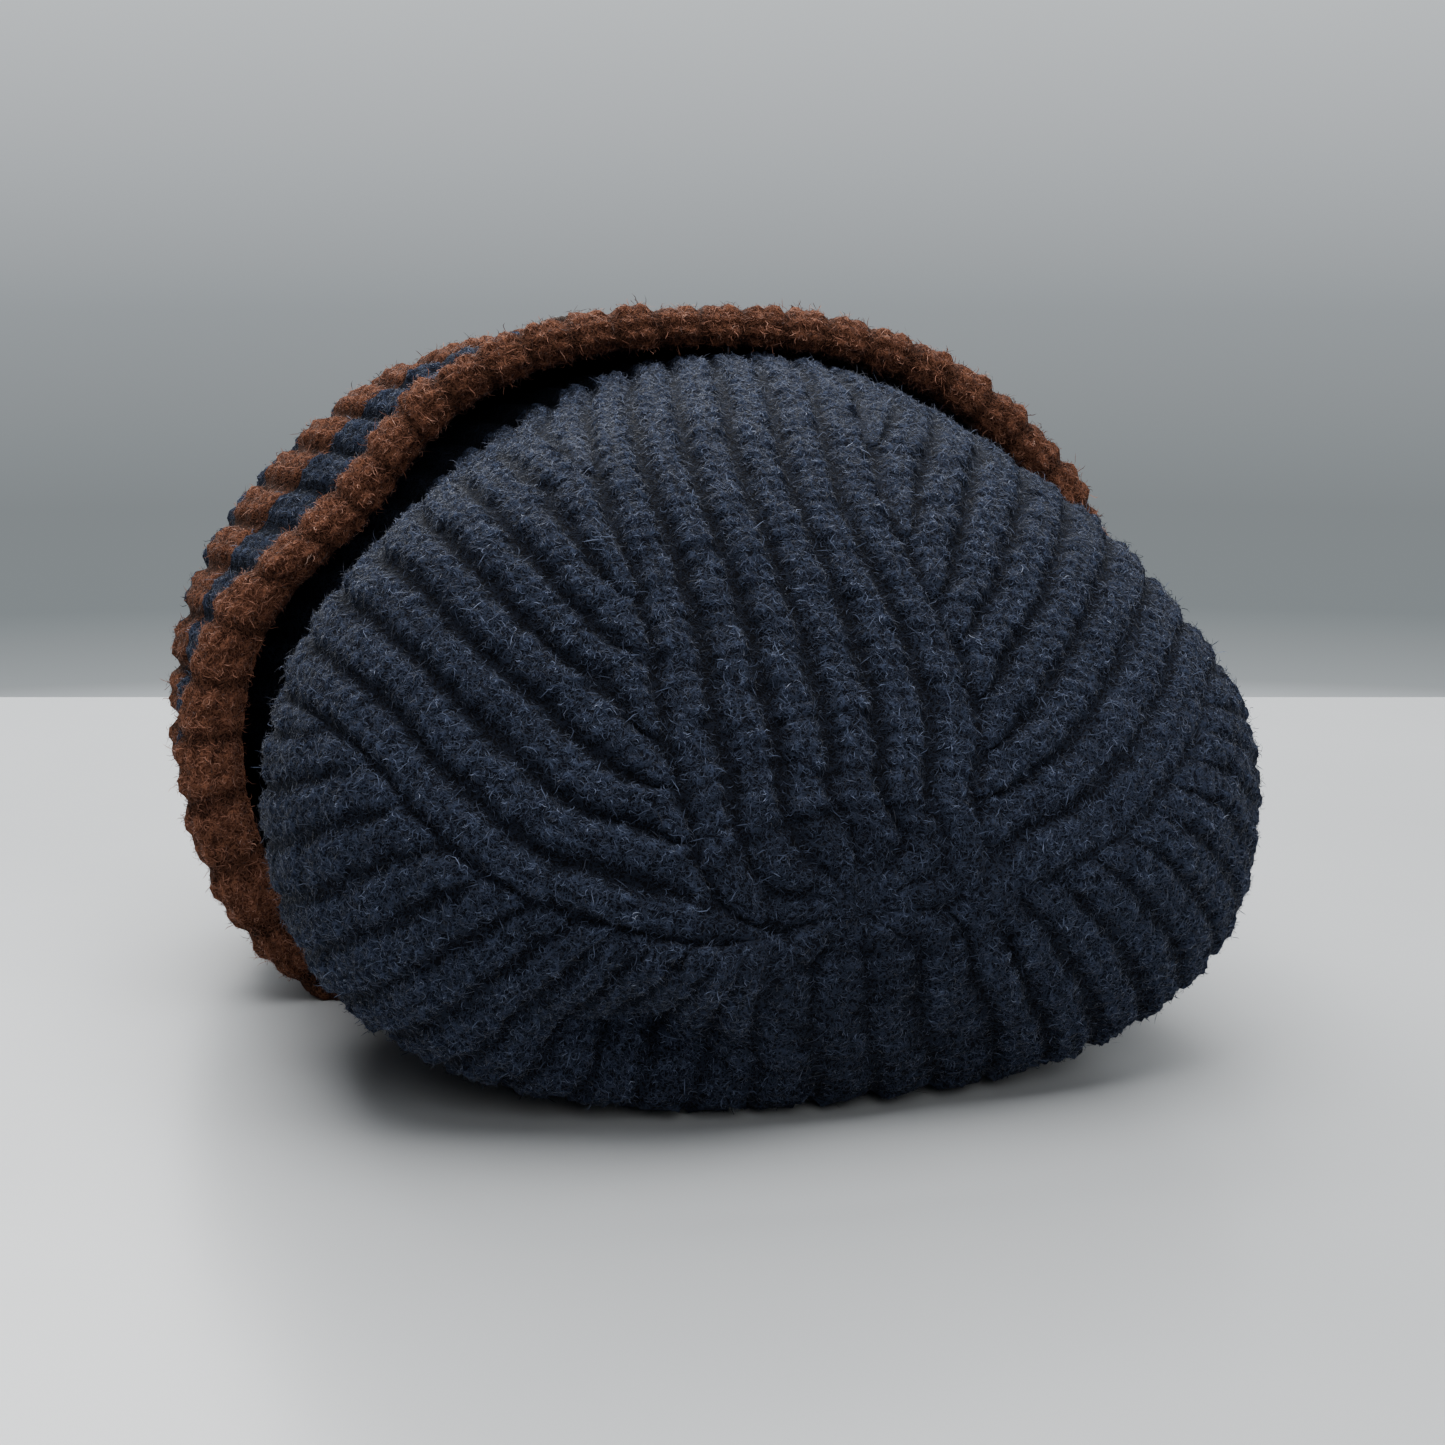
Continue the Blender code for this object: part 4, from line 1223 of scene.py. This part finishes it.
def strand_lines(tree, place, scale, seed, thickness):
    """Thin curled lines, 1 on a line and 0 between: the level lines of a soft noise."""
    noise = add(tree, "ShaderNodeTexNoise",
                {"Vector": place, "W": seed, "Scale": scale, "Detail": 1.5, "Roughness": 0.6,
                 "Distortion": 0.9}, noise_dimensions="4D")
    fold = add(tree, "ShaderNodeMath", {0: noise.outputs["Fac"], 1: 0.5}, operation="SUBTRACT")
    size = add(tree, "ShaderNodeMath", {0: fold.outputs[0]}, operation="ABSOLUTE")
    line = add(tree, "ShaderNodeMapRange",
               {"Value": size.outputs[0], "From Min": 0.0, "From Max": thickness,
                "To Min": 1.0, "To Max": 0.0}, interpolation_type="SMOOTHSTEP")
    return line.outputs["Result"]


def brushed_wool(name, deep, body, yarn, strand, sheen):
    """Brushed lambswool, knitted and fulled: matt, with a nap of fine curled fibres that
    catches light at grazing angles, and painted near black between the ribs as shade."""
    material, tree, shader = new_material(name)
    place = add(tree, "ShaderNodeTexCoord").outputs["Object"]
    high = add(tree, "ShaderNodeAttribute", attribute_name="high").outputs["Fac"]
    fine, coarse, tangle = (strand_lines(tree, place, *strands) for strands in CURLED_STRANDS)
    lines = add(tree, "ShaderNodeMath", {0: fine, 1: coarse}, operation="MAXIMUM").outputs[0]
    lines = add(tree, "ShaderNodeMath", {0: lines, 1: tangle}, operation="MAXIMUM").outputs[0]
    # Uneven dye and pilling, in patches of about 4 mm
    patch = add(tree, "ShaderNodeTexNoise",
                {"Vector": place, "Scale": PILLING_SCALE, "Detail": 3.0, "Roughness": 0.65})
    # Painted shade: how high the cloth counts lowers the ground's colour towards the deep one in the
    # valleys, grooves and gaps between stitches
    level = add(tree, "ShaderNodeMath", {0: patch.outputs["Fac"], 1: 0.5, 2: high},
                operation="MULTIPLY_ADD").outputs[0]
    level = add(tree, "ShaderNodeMath", {0: level, 1: 0.25}, operation="SUBTRACT").outputs[0]
    ground = shades(tree, level, [(0.02, deep), (0.45, body), (1.0, yarn)])
    # Painted shade: fewer pale strands are drawn where the cloth counts low, between the ribs
    bare = add(tree, "ShaderNodeMath", {0: high, 1: 0.75, 2: 0.15},
               operation="MULTIPLY_ADD").outputs[0]
    share = add(tree, "ShaderNodeMath", {0: lines, 1: bare}, operation="MULTIPLY").outputs[0]
    colour = add(tree, "ShaderNodeMix", {"Factor": share, 6: ground, 7: (*linear(strand), 1.0)},
                 data_type="RGBA").outputs[2]
    grain = add(tree, "ShaderNodeMath", {0: lines, 1: patch.outputs["Fac"]}, operation="ADD")
    bump = add(tree, "ShaderNodeBump", {"Height": grain.outputs[0], "Strength": 0.8,
                                        "Distance": 0.25 * MM})
    feed(tree, shader, {
        "Base Color": colour, "Normal": bump.outputs["Normal"], "Roughness": 0.95,
        "Specular IOR Level": 0.15, "Sheen Weight": sheen, "Sheen Roughness": 0.45,
        "Sheen Tint": (*linear(strand), 1.0)})
    return material


def wool(dye, sizes):
    """The knit's wool in one of its two dyes, made once for the steps that share it."""
    name, deep, body, strand, sheen = WOOLS[dye]
    made = bpy.data.materials.get(name)
    yarn = getattr(sizes, f"{dye}_yarn")
    return made or brushed_wool(name, deep, body, yarn, strand, sheen)


def loose_wool(dye):
    """Single wool fibres that stand off the cloth: soft, slightly glossy, each of its own
    shade. A shade is a share from 0 to 1 that every fibre carries, random but painted lower
    deep between two ribs as shade."""
    name, stops = LOOSE_WOOLS[dye]
    material, tree, shader = new_material(name)
    shade = add(tree, "ShaderNodeAttribute", attribute_name="shade").outputs["Fac"]
    feed(tree, shader, {
        "Base Color": shades(tree, shade, stops), "Roughness": 0.75,
        "Specular IOR Level": 0.25, "Sheen Weight": 0.2})
    return material


def woven_twill(name, deep, body):
    """Close cotton twill, matt, with the ribs of its weave drawn slantwise."""
    material, tree, shader = new_material(name)
    place = add(tree, "ShaderNodeAttribute", attribute_name="weave").outputs["Vector"]
    turned = add(tree, "ShaderNodeMapping", {"Vector": place, "Rotation": (0.0, 0.0, TWILL_SLANT)})
    # A wave of scale 1 repeats every pi / 10 metres
    ribs = add(tree, "ShaderNodeTexWave",
               {"Vector": turned.outputs[0], "Scale": math.pi / 10 / TWILL_RIB,
                "Distortion": 0.6, "Detail": 1.0, "Detail Scale": 8.0})
    bump = add(tree, "ShaderNodeBump", {"Height": ribs.outputs["Fac"], "Strength": 0.5,
                                        "Distance": 0.15 * MM})
    feed(tree, shader, {
        "Base Color": shades(tree, ribs.outputs["Fac"], [(0.1, deep), (0.8, body)]),
        "Normal": bump.outputs["Normal"], "Roughness": 0.95, "Specular IOR Level": 0.15})
    return material


def spun_thread(name, colour):
    """Mercerised cotton sewing thread, with a soft shine."""
    material, tree, shader = new_material(name)
    feed(tree, shader, {"Base Color": (*linear(colour), 1.0), "Roughness": 0.6})
    return material


def painted_board(name, dark, pale):
    """Painted board, sprayed: an even pale grey with a faint broad shine."""
    material, tree, shader = new_material(name)
    place = add(tree, "ShaderNodeTexCoord").outputs["Object"]
    mottle = add(tree, "ShaderNodeTexNoise", {"Vector": place, "Scale": 9.0, "Detail": 3.0})
    feed(tree, shader, {
        "Base Color": shades(tree, mottle.outputs["Fac"], [(0.3, dark), (0.7, pale)]),
        "Roughness": 0.30, "Specular IOR Level": 0.60})
    return material


def fibre_line(chance, steps, length, curl):
    """The corners of one fibre's middle line, lying along X."""
    stride = length * chance.uniform(*FIBRE_LENGTHS) / steps
    turn, climb = chance.uniform(-curl, curl), chance.uniform(*FIBRE_CLIMB)
    heading, line = -turn / 2, [np.zeros(3)]
    for step in range(steps):
        heading += turn / steps + chance.uniform(-FIBRE_WOBBLE, FIBRE_WOBBLE)
        way = (math.cos(heading), math.sin(heading), climb * math.cos(step * FIBRE_WAVE))
        line.append(line[-1] + stride * np.array(way))
    return line


def fibre_shapes(name, steps, length, width, curl, seed):
    """Curled fibres, each a flat strand of a few steps that ends in two points.

    Curl is the most that a fibre turns, in radians, from end to end.
    """
    chance = np.random.default_rng(seed)
    holder = bpy.data.collections.new(name)
    for number in range(FIBRE_KINDS):
        line = fibre_line(chance, steps, length, curl)
        points, marks = [line[0]], [(FIBRE_MAP / 2, FIBRE_TIPS[0])]
        for step in range(1, steps):
            way = line[step + 1] - line[step - 1]
            side = unit(np.array([-way[1], way[0], 0.0])) * width / 2
            points += [line[step] - side, line[step] + side]
            marks += [(0.0, step / steps), (FIBRE_MAP, step / steps)]
        points.append(line[steps])
        marks.append((FIBRE_MAP / 2, FIBRE_TIPS[1]))
        last = len(points) - 1
        faces = [(0, 1, 2), (last - 2, last, last - 1)]
        faces += [(side, side + 2, side + 3, side + 1) for side in range(1, last - 2, 2)]
        mesh = bpy.data.meshes.new(f"{name}_{number}")
        mesh.from_pydata(points, [], faces)
        layer = mesh.uv_layers.new(name="OFBake")
        for loop in mesh.loops:
            layer.uv[loop.index].vector = marks[loop.vertex_index]
        holder.objects.link(bpy.data.objects.new(f"{name}_{number}", mesh))
    return holder


def nap_tree():
    """Scatters curled fibres over a cloth where its nap attribute says, each with its shade:
    random, and lowered deep between two ribs as painted shade.
    """
    tree, given = new_tree("brushed_nap", "Fibres", (
        ("Cloth", "Geometry"), ("Fibre Shapes", "Collection"), ("Density", "Float"),
        ("Smallest", "Float"), ("Largest", "Float"), ("Tilt", "Float"), ("Seed", "Int"),
        ("Wool", "Material")))
    weight = add(tree, "GeometryNodeInputNamedAttribute", {"Name": "nap"}, data_type="FLOAT")
    density = add(tree, "ShaderNodeMath", {0: weight.outputs[0], 1: given["Density"]},
                  operation="MULTIPLY")
    points = add(tree, "GeometryNodeDistributePointsOnFaces",
                 {"Mesh": given["Cloth"], "Density": density.outputs[0], "Seed": given["Seed"]})
    spin = add(tree, "FunctionNodeRandomValue", {2: 0.0, 3: 2 * math.pi, "Seed": given["Seed"]},
               data_type="FLOAT")
    tip = add(tree, "ShaderNodeMath", {0: given["Tilt"], 1: -1.0}, operation="MULTIPLY")
    tilt = add(tree, "FunctionNodeRandomValue",
               {2: tip.outputs[0], 3: given["Tilt"], "Seed": TILT_SEED}, data_type="FLOAT")
    turned = add(tree, "FunctionNodeAxisAngleToRotation",
                 {"Axis": (0, 0, 1), "Angle": spin.outputs[1]})
    tilted = add(tree, "FunctionNodeAxisAngleToRotation",
                 {"Axis": (0, 1, 0), "Angle": tilt.outputs[1]})
    way = add(tree, "FunctionNodeRotateRotation",
              {0: points.outputs["Rotation"], 1: turned.outputs[0]}, rotation_space="LOCAL")
    way = add(tree, "FunctionNodeRotateRotation",
              {0: way.outputs[0], 1: tilted.outputs[0]}, rotation_space="LOCAL")
    size = add(tree, "FunctionNodeRandomValue",
               {2: given["Smallest"], 3: given["Largest"], "Seed": SIZE_SEED}, data_type="FLOAT")
    shapes = add(tree, "GeometryNodeCollectionInfo",
                 {"Collection": given["Fibre Shapes"], "Separate Children": True,
                  "Reset Children": True})
    pick = add(tree, "FunctionNodeRandomValue", {4: 0, 5: 9999, "Seed": PICK_SEED},
               data_type="INT")
    placed = add(tree, "GeometryNodeInstanceOnPoints",
                 {"Points": points.outputs["Points"], "Instance": shapes.outputs[0],
                  "Pick Instance": True, "Instance Index": pick.outputs[2],
                  "Rotation": way.outputs[0], "Scale": size.outputs[1]})
    # Painted shade: fibres deep between two ribs are painted darker, their random shade scaled
    # down where the cloth counts low
    high = add(tree, "GeometryNodeInputNamedAttribute", {"Name": "high"}, data_type="FLOAT")
    light = add(tree, "ShaderNodeMath", {0: high.outputs[0], 1: 1 - DEEP_FIBRE, 2: DEEP_FIBRE},
                operation="MULTIPLY_ADD")
    shade = add(tree, "FunctionNodeRandomValue", {2: 0.0, 3: 1.0, "Seed": SHADE_SEED},
                data_type="FLOAT")
    shade = add(tree, "ShaderNodeMath", {0: shade.outputs[1], 1: light.outputs[0]},
                operation="MULTIPLY")
    shaded = add(tree, "GeometryNodeStoreNamedAttribute",
                 {"Geometry": placed.outputs[0], "Name": "shade", "Value": shade.outputs[0]},
                 data_type="FLOAT", domain="INSTANCE")
    real = add(tree, "GeometryNodeRealizeInstances", {"Geometry": shaded.outputs[0]})
    dyed = add(tree, "GeometryNodeSetMaterial",
               {"Geometry": real.outputs[0], "Material": given["Wool"]})
    add(tree, "NodeGroupOutput", {"Fibres": dyed.outputs[0]})
    return tree


def from_nodes(name, mesh, tree, settings):
    """A plain mesh object made by running a tree on a mesh, with the tree's inputs set."""
    piece = bpy.data.objects.new(name, mesh)
    modifier = piece.modifiers.new("making", "NODES")
    modifier.node_group = tree
    for item in tree.interface.items_tree:
        if item.in_out == "INPUT" and item.name in settings:
            modifier[item.identifier] = settings[item.name]
    bpy.context.scene.collection.objects.link(piece)
    bpy.context.view_layer.update()
    seen = piece.evaluated_get(bpy.context.evaluated_depsgraph_get())
    made = bpy.data.meshes.new_from_object(seen)
    piece.modifiers.remove(modifier)
    piece.data = made
    made.name = name
    return piece


def raise_nap(name, cloth, shapes, tree, material, density, tilt, seed):
    """One layer of loose fibres over a knitted piece."""
    piece = from_nodes(name, cloth.data, tree, {
        "Fibre Shapes": shapes, "Density": density, "Smallest": FIBRE_SCALES[0],
        "Largest": FIBRE_SCALES[1], "Tilt": tilt, "Seed": seed, "Wool": material})
    mesh = piece.data
    if not len(mesh.polygons):
        raise RuntimeError(f"no fibres grew for {name}")
    shade = np.empty(len(mesh.vertices), np.float32)
    mesh.attributes["shade"].data.foreach_get("value", shade)
    corner = np.empty(len(mesh.loops), np.int32)
    mesh.loops.foreach_get("vertex_index", corner)
    # On the picture map each fibre takes a place by its shade
    layer = mesh.uv_layers["OFBake"]
    spot = np.empty(2 * len(mesh.loops), np.float32)
    layer.uv.foreach_get("vector", spot)
    spot = spot.reshape(-1, 2)
    spot[:, 0] += SHADE_MAP * shade[corner]
    layer.uv.foreach_set("vector", spot.ravel())
    for label in ("high", "nap"):
        if label in mesh.attributes:
            mesh.attributes.remove(mesh.attributes[label])
    return piece


def clear(holder):
    """Take away a collection of shapes once their copies are made."""
    for shape in list(holder.objects):
        bpy.data.objects.remove(shape)
    bpy.data.collections.remove(holder)


def own(piece, slot, *nodes):
    """Make a piece ride with the hat and stand for its solids. The slot is not used."""
    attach(piece, "root")
    if nodes:
        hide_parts(*nodes)


def lay_board(scene, sizes):
    """The pale floor, square to the camera's view."""
    along, across = math.cos(sizes.turn), math.sin(sizes.turn)
    rim = [(side * BOARD_HALF_WIDTH * along - end * across,
            side * BOARD_HALF_WIDTH * across + end * along, 0.0)
           for side, end in ((-1, BOARD_FRONT), (1, BOARD_FRONT), (1, BOARD_BACK),
                             (-1, BOARD_BACK))]
    mesh = bpy.data.meshes.new("floor")
    mesh.from_pydata(rim, [], [(0, 1, 2, 3)])
    mesh.materials.append(painted_board("pale_painted_board", "#c8cbcd", "#ced1d3"))
    floor = bpy.data.objects.new("floor", mesh)
    scene.collection.objects.link(floor)


def hang_lamps(scene, sizes):
    """The soft lamps, each aimed at the hat."""
    for name, place, aim, size in LAMPS:
        lamp = bpy.data.lights.new(name, "AREA")
        lamp.energy, lamp.size = getattr(sizes, name), size
        holder = bpy.data.objects.new(name, lamp)
        holder.location = place
        way = Vector(aim) - Vector(place)
        holder.rotation_euler = way.to_track_quat("-Z", "Y").to_euler()
        scene.collection.objects.link(holder)


def light_surroundings(scene, sizes):
    """Faint light from above only, and a grey backdrop that pales upwards and just over the
    board. The board's shine mirrors the backdrop that the camera sees."""
    world = bpy.data.worlds.new("pale_surroundings")
    world.use_nodes = True
    tree = world.node_tree
    tree.nodes.clear()
    way = add(tree, "ShaderNodeTexCoord").outputs["Generated"]
    up = add(tree, "ShaderNodeSeparateXYZ", {0: way}).outputs["Z"]
    above = add(tree, "ShaderNodeMapRange",
                {"Value": up, "From Min": CEILING_RISE[0], "From Max": CEILING_RISE[1]},
                interpolation_type="SMOOTHSTEP").outputs["Result"]
    glow = add(tree, "ShaderNodeMath", {0: above, 1: sizes.fill}, operation="MULTIPLY")
    light = add(tree, "ShaderNodeBackground", {"Color": (*linear(CEILING_WHITE), 1.0),
                                               "Strength": glow.outputs[0]})
    rise = add(tree, "ShaderNodeMapRange", {"Value": up, "From Min": BACKDROP_RISE[0],
                                            "From Max": BACKDROP_RISE[1]}).outputs["Result"]
    seen = add(tree, "ShaderNodeBackground", {"Color": shades(tree, rise, BACKDROP_GREYS)})
    rays = add(tree, "ShaderNodeLightPath").outputs
    ray = add(tree, "ShaderNodeMath", {0: rays["Is Camera Ray"], 1: rays["Is Glossy Ray"]},
              operation="MAXIMUM").outputs[0]
    both = add(tree, "ShaderNodeMixShader", {0: ray, 1: light.outputs[0], 2: seen.outputs[0]})
    add(tree, "ShaderNodeOutputWorld", {"Surface": both.outputs[0]})
    scene.world = world


def aim_camera(scene, sizes):
    """The camera, turned round the hat and lifted over the floor."""
    aim = Vector(AIM)
    back = Vector((math.sin(sizes.turn) * math.cos(sizes.height),
                   -math.cos(sizes.turn) * math.cos(sizes.height), math.sin(sizes.height)))
    data = bpy.data.cameras.new("camera")
    data.sensor_width = FILM_WIDTH
    data.lens = FILM_WIDTH / 2 / math.tan(sizes.view / 2)
    data.clip_start = NEAREST
    camera = bpy.data.objects.new("camera", data)
    camera.location = aim + back * sizes.distance
    camera.rotation_euler = (-back).to_track_quat("-Z", "Y").to_euler()
    scene.collection.objects.link(camera)
    scene.camera = camera


def length_setting(name, description, default):
    """A length that a user may set."""
    return bpy.props.FloatProperty(name=name, description=description, default=default,
                                   subtype="DISTANCE", unit="LENGTH")


def angle_setting(name, description, degrees):
    """An angle that a user may set."""
    return bpy.props.FloatProperty(name=name, description=description,
                                   default=math.radians(degrees), subtype="ANGLE")


def power_setting(name, description, default):
    """A lamp's power, in watts, that a user may set."""
    return bpy.props.FloatProperty(name=name, description=description, default=default,
                                   subtype="POWER")


def colour_setting(name, description, default):
    """A colour that a user may set, given in hex."""
    return bpy.props.FloatVectorProperty(name=name, description=description, size=3, min=0.0,
                                         max=1.0, default=linear(default), subtype="COLOR")


class HatSizes(bpy.types.PropertyGroup):
    """Sizes of the knit and of its nap, and the colours of its yarns."""

    stitch_length: length_setting("Stitch length", "One row of knitting", 3.12 * MM)
    stitch_rise: length_setting("Stitch rise", "How far each stitch bulges", 0.90 * MM)
    valley_depth: length_setting("Valley depth", "Depth between two ribs", 2.0 * MM)
    column_groove: length_setting("Column groove", "Depth between the two columns of a rib", 0.40 * MM)
    lump_rise: length_setting("Unevenness", "Slow swelling along each rib", 0.32 * MM)
    fibre_length: length_setting("Fibre length", "Mean length of a loose fibre", 1.5 * MM)
    fibre_width: length_setting("Fibre width", "Width of a drawn fibre", 0.12 * MM)
    nap_density: bpy.props.FloatProperty(
        name="Nap", description="Loose fibres to a square metre in one layer", default=2.6e6)
    seed: bpy.props.IntProperty(
        name="Seed", description="Chooses the uneven stitches", default=11)
    navy_yarn: colour_setting("Navy yarn", "Colour of the navy wool", "#1a1f2f")
    brown_yarn: colour_setting("Brown yarn", "Colour of the brown wool", "#5a3628")


class StageSizes(bpy.types.PropertyGroup):
    """The camera and the soft light."""

    turn: angle_setting("Turn", "Camera's angle round the hat", -17)
    height: angle_setting("Height", "Camera's angle above the floor", 11)
    view: angle_setting("Field of view", "Width of the picture", 30)
    distance: length_setting("Distance", "Camera to hat", 0.5)
    overhead: power_setting("Overhead light", "Power of the soft light above", 15.5)
    behind: power_setting("Light behind", "Power of the soft light behind", 17.0)
    front: power_setting("Front light", "Power of the soft light in front", 3.5)
    fill: bpy.props.FloatProperty(
        name="Fill", description="Light from the pale ceiling", default=0.09)


class HAT_OT_knit_crown(bpy.types.Operator):
    """Knit the body of the hat up to its gathered top"""

    bl_idname = "hat.knit_crown"
    bl_label = "Knit crown"

    def execute(self, context):
        sizes = context.scene.hat_sizes
        piece = knit_crown(Form(), Stitches(sizes), wool("navy", sizes))
        own(piece, "crown", "crown")
        return {"FINISHED"}


class HAT_OT_knit_turn_up(bpy.types.Operator):
    """Knit the striped turn-up and its rolled edge"""

    bl_idname = "hat.knit_turn_up"
    bl_label = "Knit turn-up"

    def execute(self, context):
        sizes = context.scene.hat_sizes
        dyes = [wool(dye, sizes) for dye in ("navy", "brown", "navy", "brown")]
        pieces = knit_turn_up(Form(), Stitches(sizes), dyes)
        nodes = ("cuff_base", "cuff_brown_stripe", "cuff_navy_stripe", "cuff_rolled_edge")
        for piece, node in zip(pieces, nodes):
            own(piece, node, node)
        return {"FINISHED"}


class HAT_OT_sew_patch(bpy.types.Operator):
    """Sew the blank patch to the turn-up"""

    bl_idname = "hat.sew_patch"
    bl_label = "Sew patch"

    def execute(self, context):
        form = Form()
        patch = sew_patch(form, woven_twill("brown_woven_twill", "#1c120d", "#37261b"))
        own(patch, "label_patch", "label_patch")
        own(sew_seam(form, spun_thread("dark_sewing_thread", "#2a1a12")), "label_patch")
        return {"FINISHED"}


class HAT_OT_raise_nap(bpy.types.Operator):
    """Raise the brushed nap of loose fibres on all the knit"""

    bl_idname = "hat.raise_nap"
    bl_label = "Raise nap"

    def execute(self, context):
        sizes = context.scene.hat_sizes
        tree = nap_tree()
        shapes = {}
        for number, (kind, (steps, longer, wider, curl)) in enumerate(FIBRES.items()):
            shapes[kind] = fibre_shapes(f"{kind}_fibre", steps, longer * sizes.fibre_length,
                                        wider * sizes.fibre_width, curl, sizes.seed + number)
        wools = {dye: loose_wool(dye) for dye in LOOSE_WOOLS}
        for number, (name, cloth, kind, share, tilt) in enumerate(NAP_LAYERS):
            slot, dye = KNITTED[cloth]
            piece = raise_nap(name, bpy.data.objects[cloth], shapes[kind], tree, wools[dye],
                              sizes.nap_density * share, tilt, sizes.seed + number)
            own(piece, slot)
        for holder in shapes.values():
            clear(holder)
        return {"FINISHED"}


class HAT_OT_set_stage(bpy.types.Operator):
    """Lay the pale floor, hang the soft light and aim the camera"""

    bl_idname = "hat.set_stage"
    bl_label = "Set stage"

    def execute(self, context):
        for step in (lay_board, hang_lamps, light_surroundings, aim_camera):
            step(context.scene, context.scene.hat_stage)
        return {"FINISHED"}


class HAT_PT_panel(bpy.types.Panel):
    """The steps that make the hat"""

    bl_idname = "HAT_PT_panel"
    bl_label = "Beanie"
    bl_space_type = "VIEW_3D"
    bl_region_type = "UI"
    bl_category = "Beanie"

    def draw(self, context):
        for group in (context.scene.hat_sizes, context.scene.hat_stage):
            for name in group.bl_rna.properties.keys():
                if name not in ("rna_type", "name"):
                    self.layout.prop(group, name)
        for step in STEPS:
            self.layout.operator(step.bl_idname)


STEPS = (HAT_OT_knit_crown, HAT_OT_knit_turn_up, HAT_OT_sew_patch, HAT_OT_raise_nap,
         HAT_OT_set_stage)
CLASSES = (HatSizes, StageSizes, *STEPS, HAT_PT_panel)


def register():
    """Make the sizes, the steps and the panel known."""
    for item in CLASSES:
        bpy.utils.register_class(item)
    bpy.types.Scene.hat_sizes = bpy.props.PointerProperty(type=HatSizes)
    bpy.types.Scene.hat_stage = bpy.props.PointerProperty(type=StageSizes)


def unregister():
    """Take them away again."""
    del bpy.types.Scene.hat_stage
    del bpy.types.Scene.hat_sizes
    for item in reversed(CLASSES):
        bpy.utils.unregister_class(item)


def main():
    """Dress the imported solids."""
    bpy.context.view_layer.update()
    register()
    bpy.ops.hat.knit_crown()
    bpy.ops.hat.knit_turn_up()
    bpy.ops.hat.sew_patch()
    bpy.ops.hat.raise_nap()
    bpy.ops.hat.set_stage()


if __name__ == "__main__":
    main()
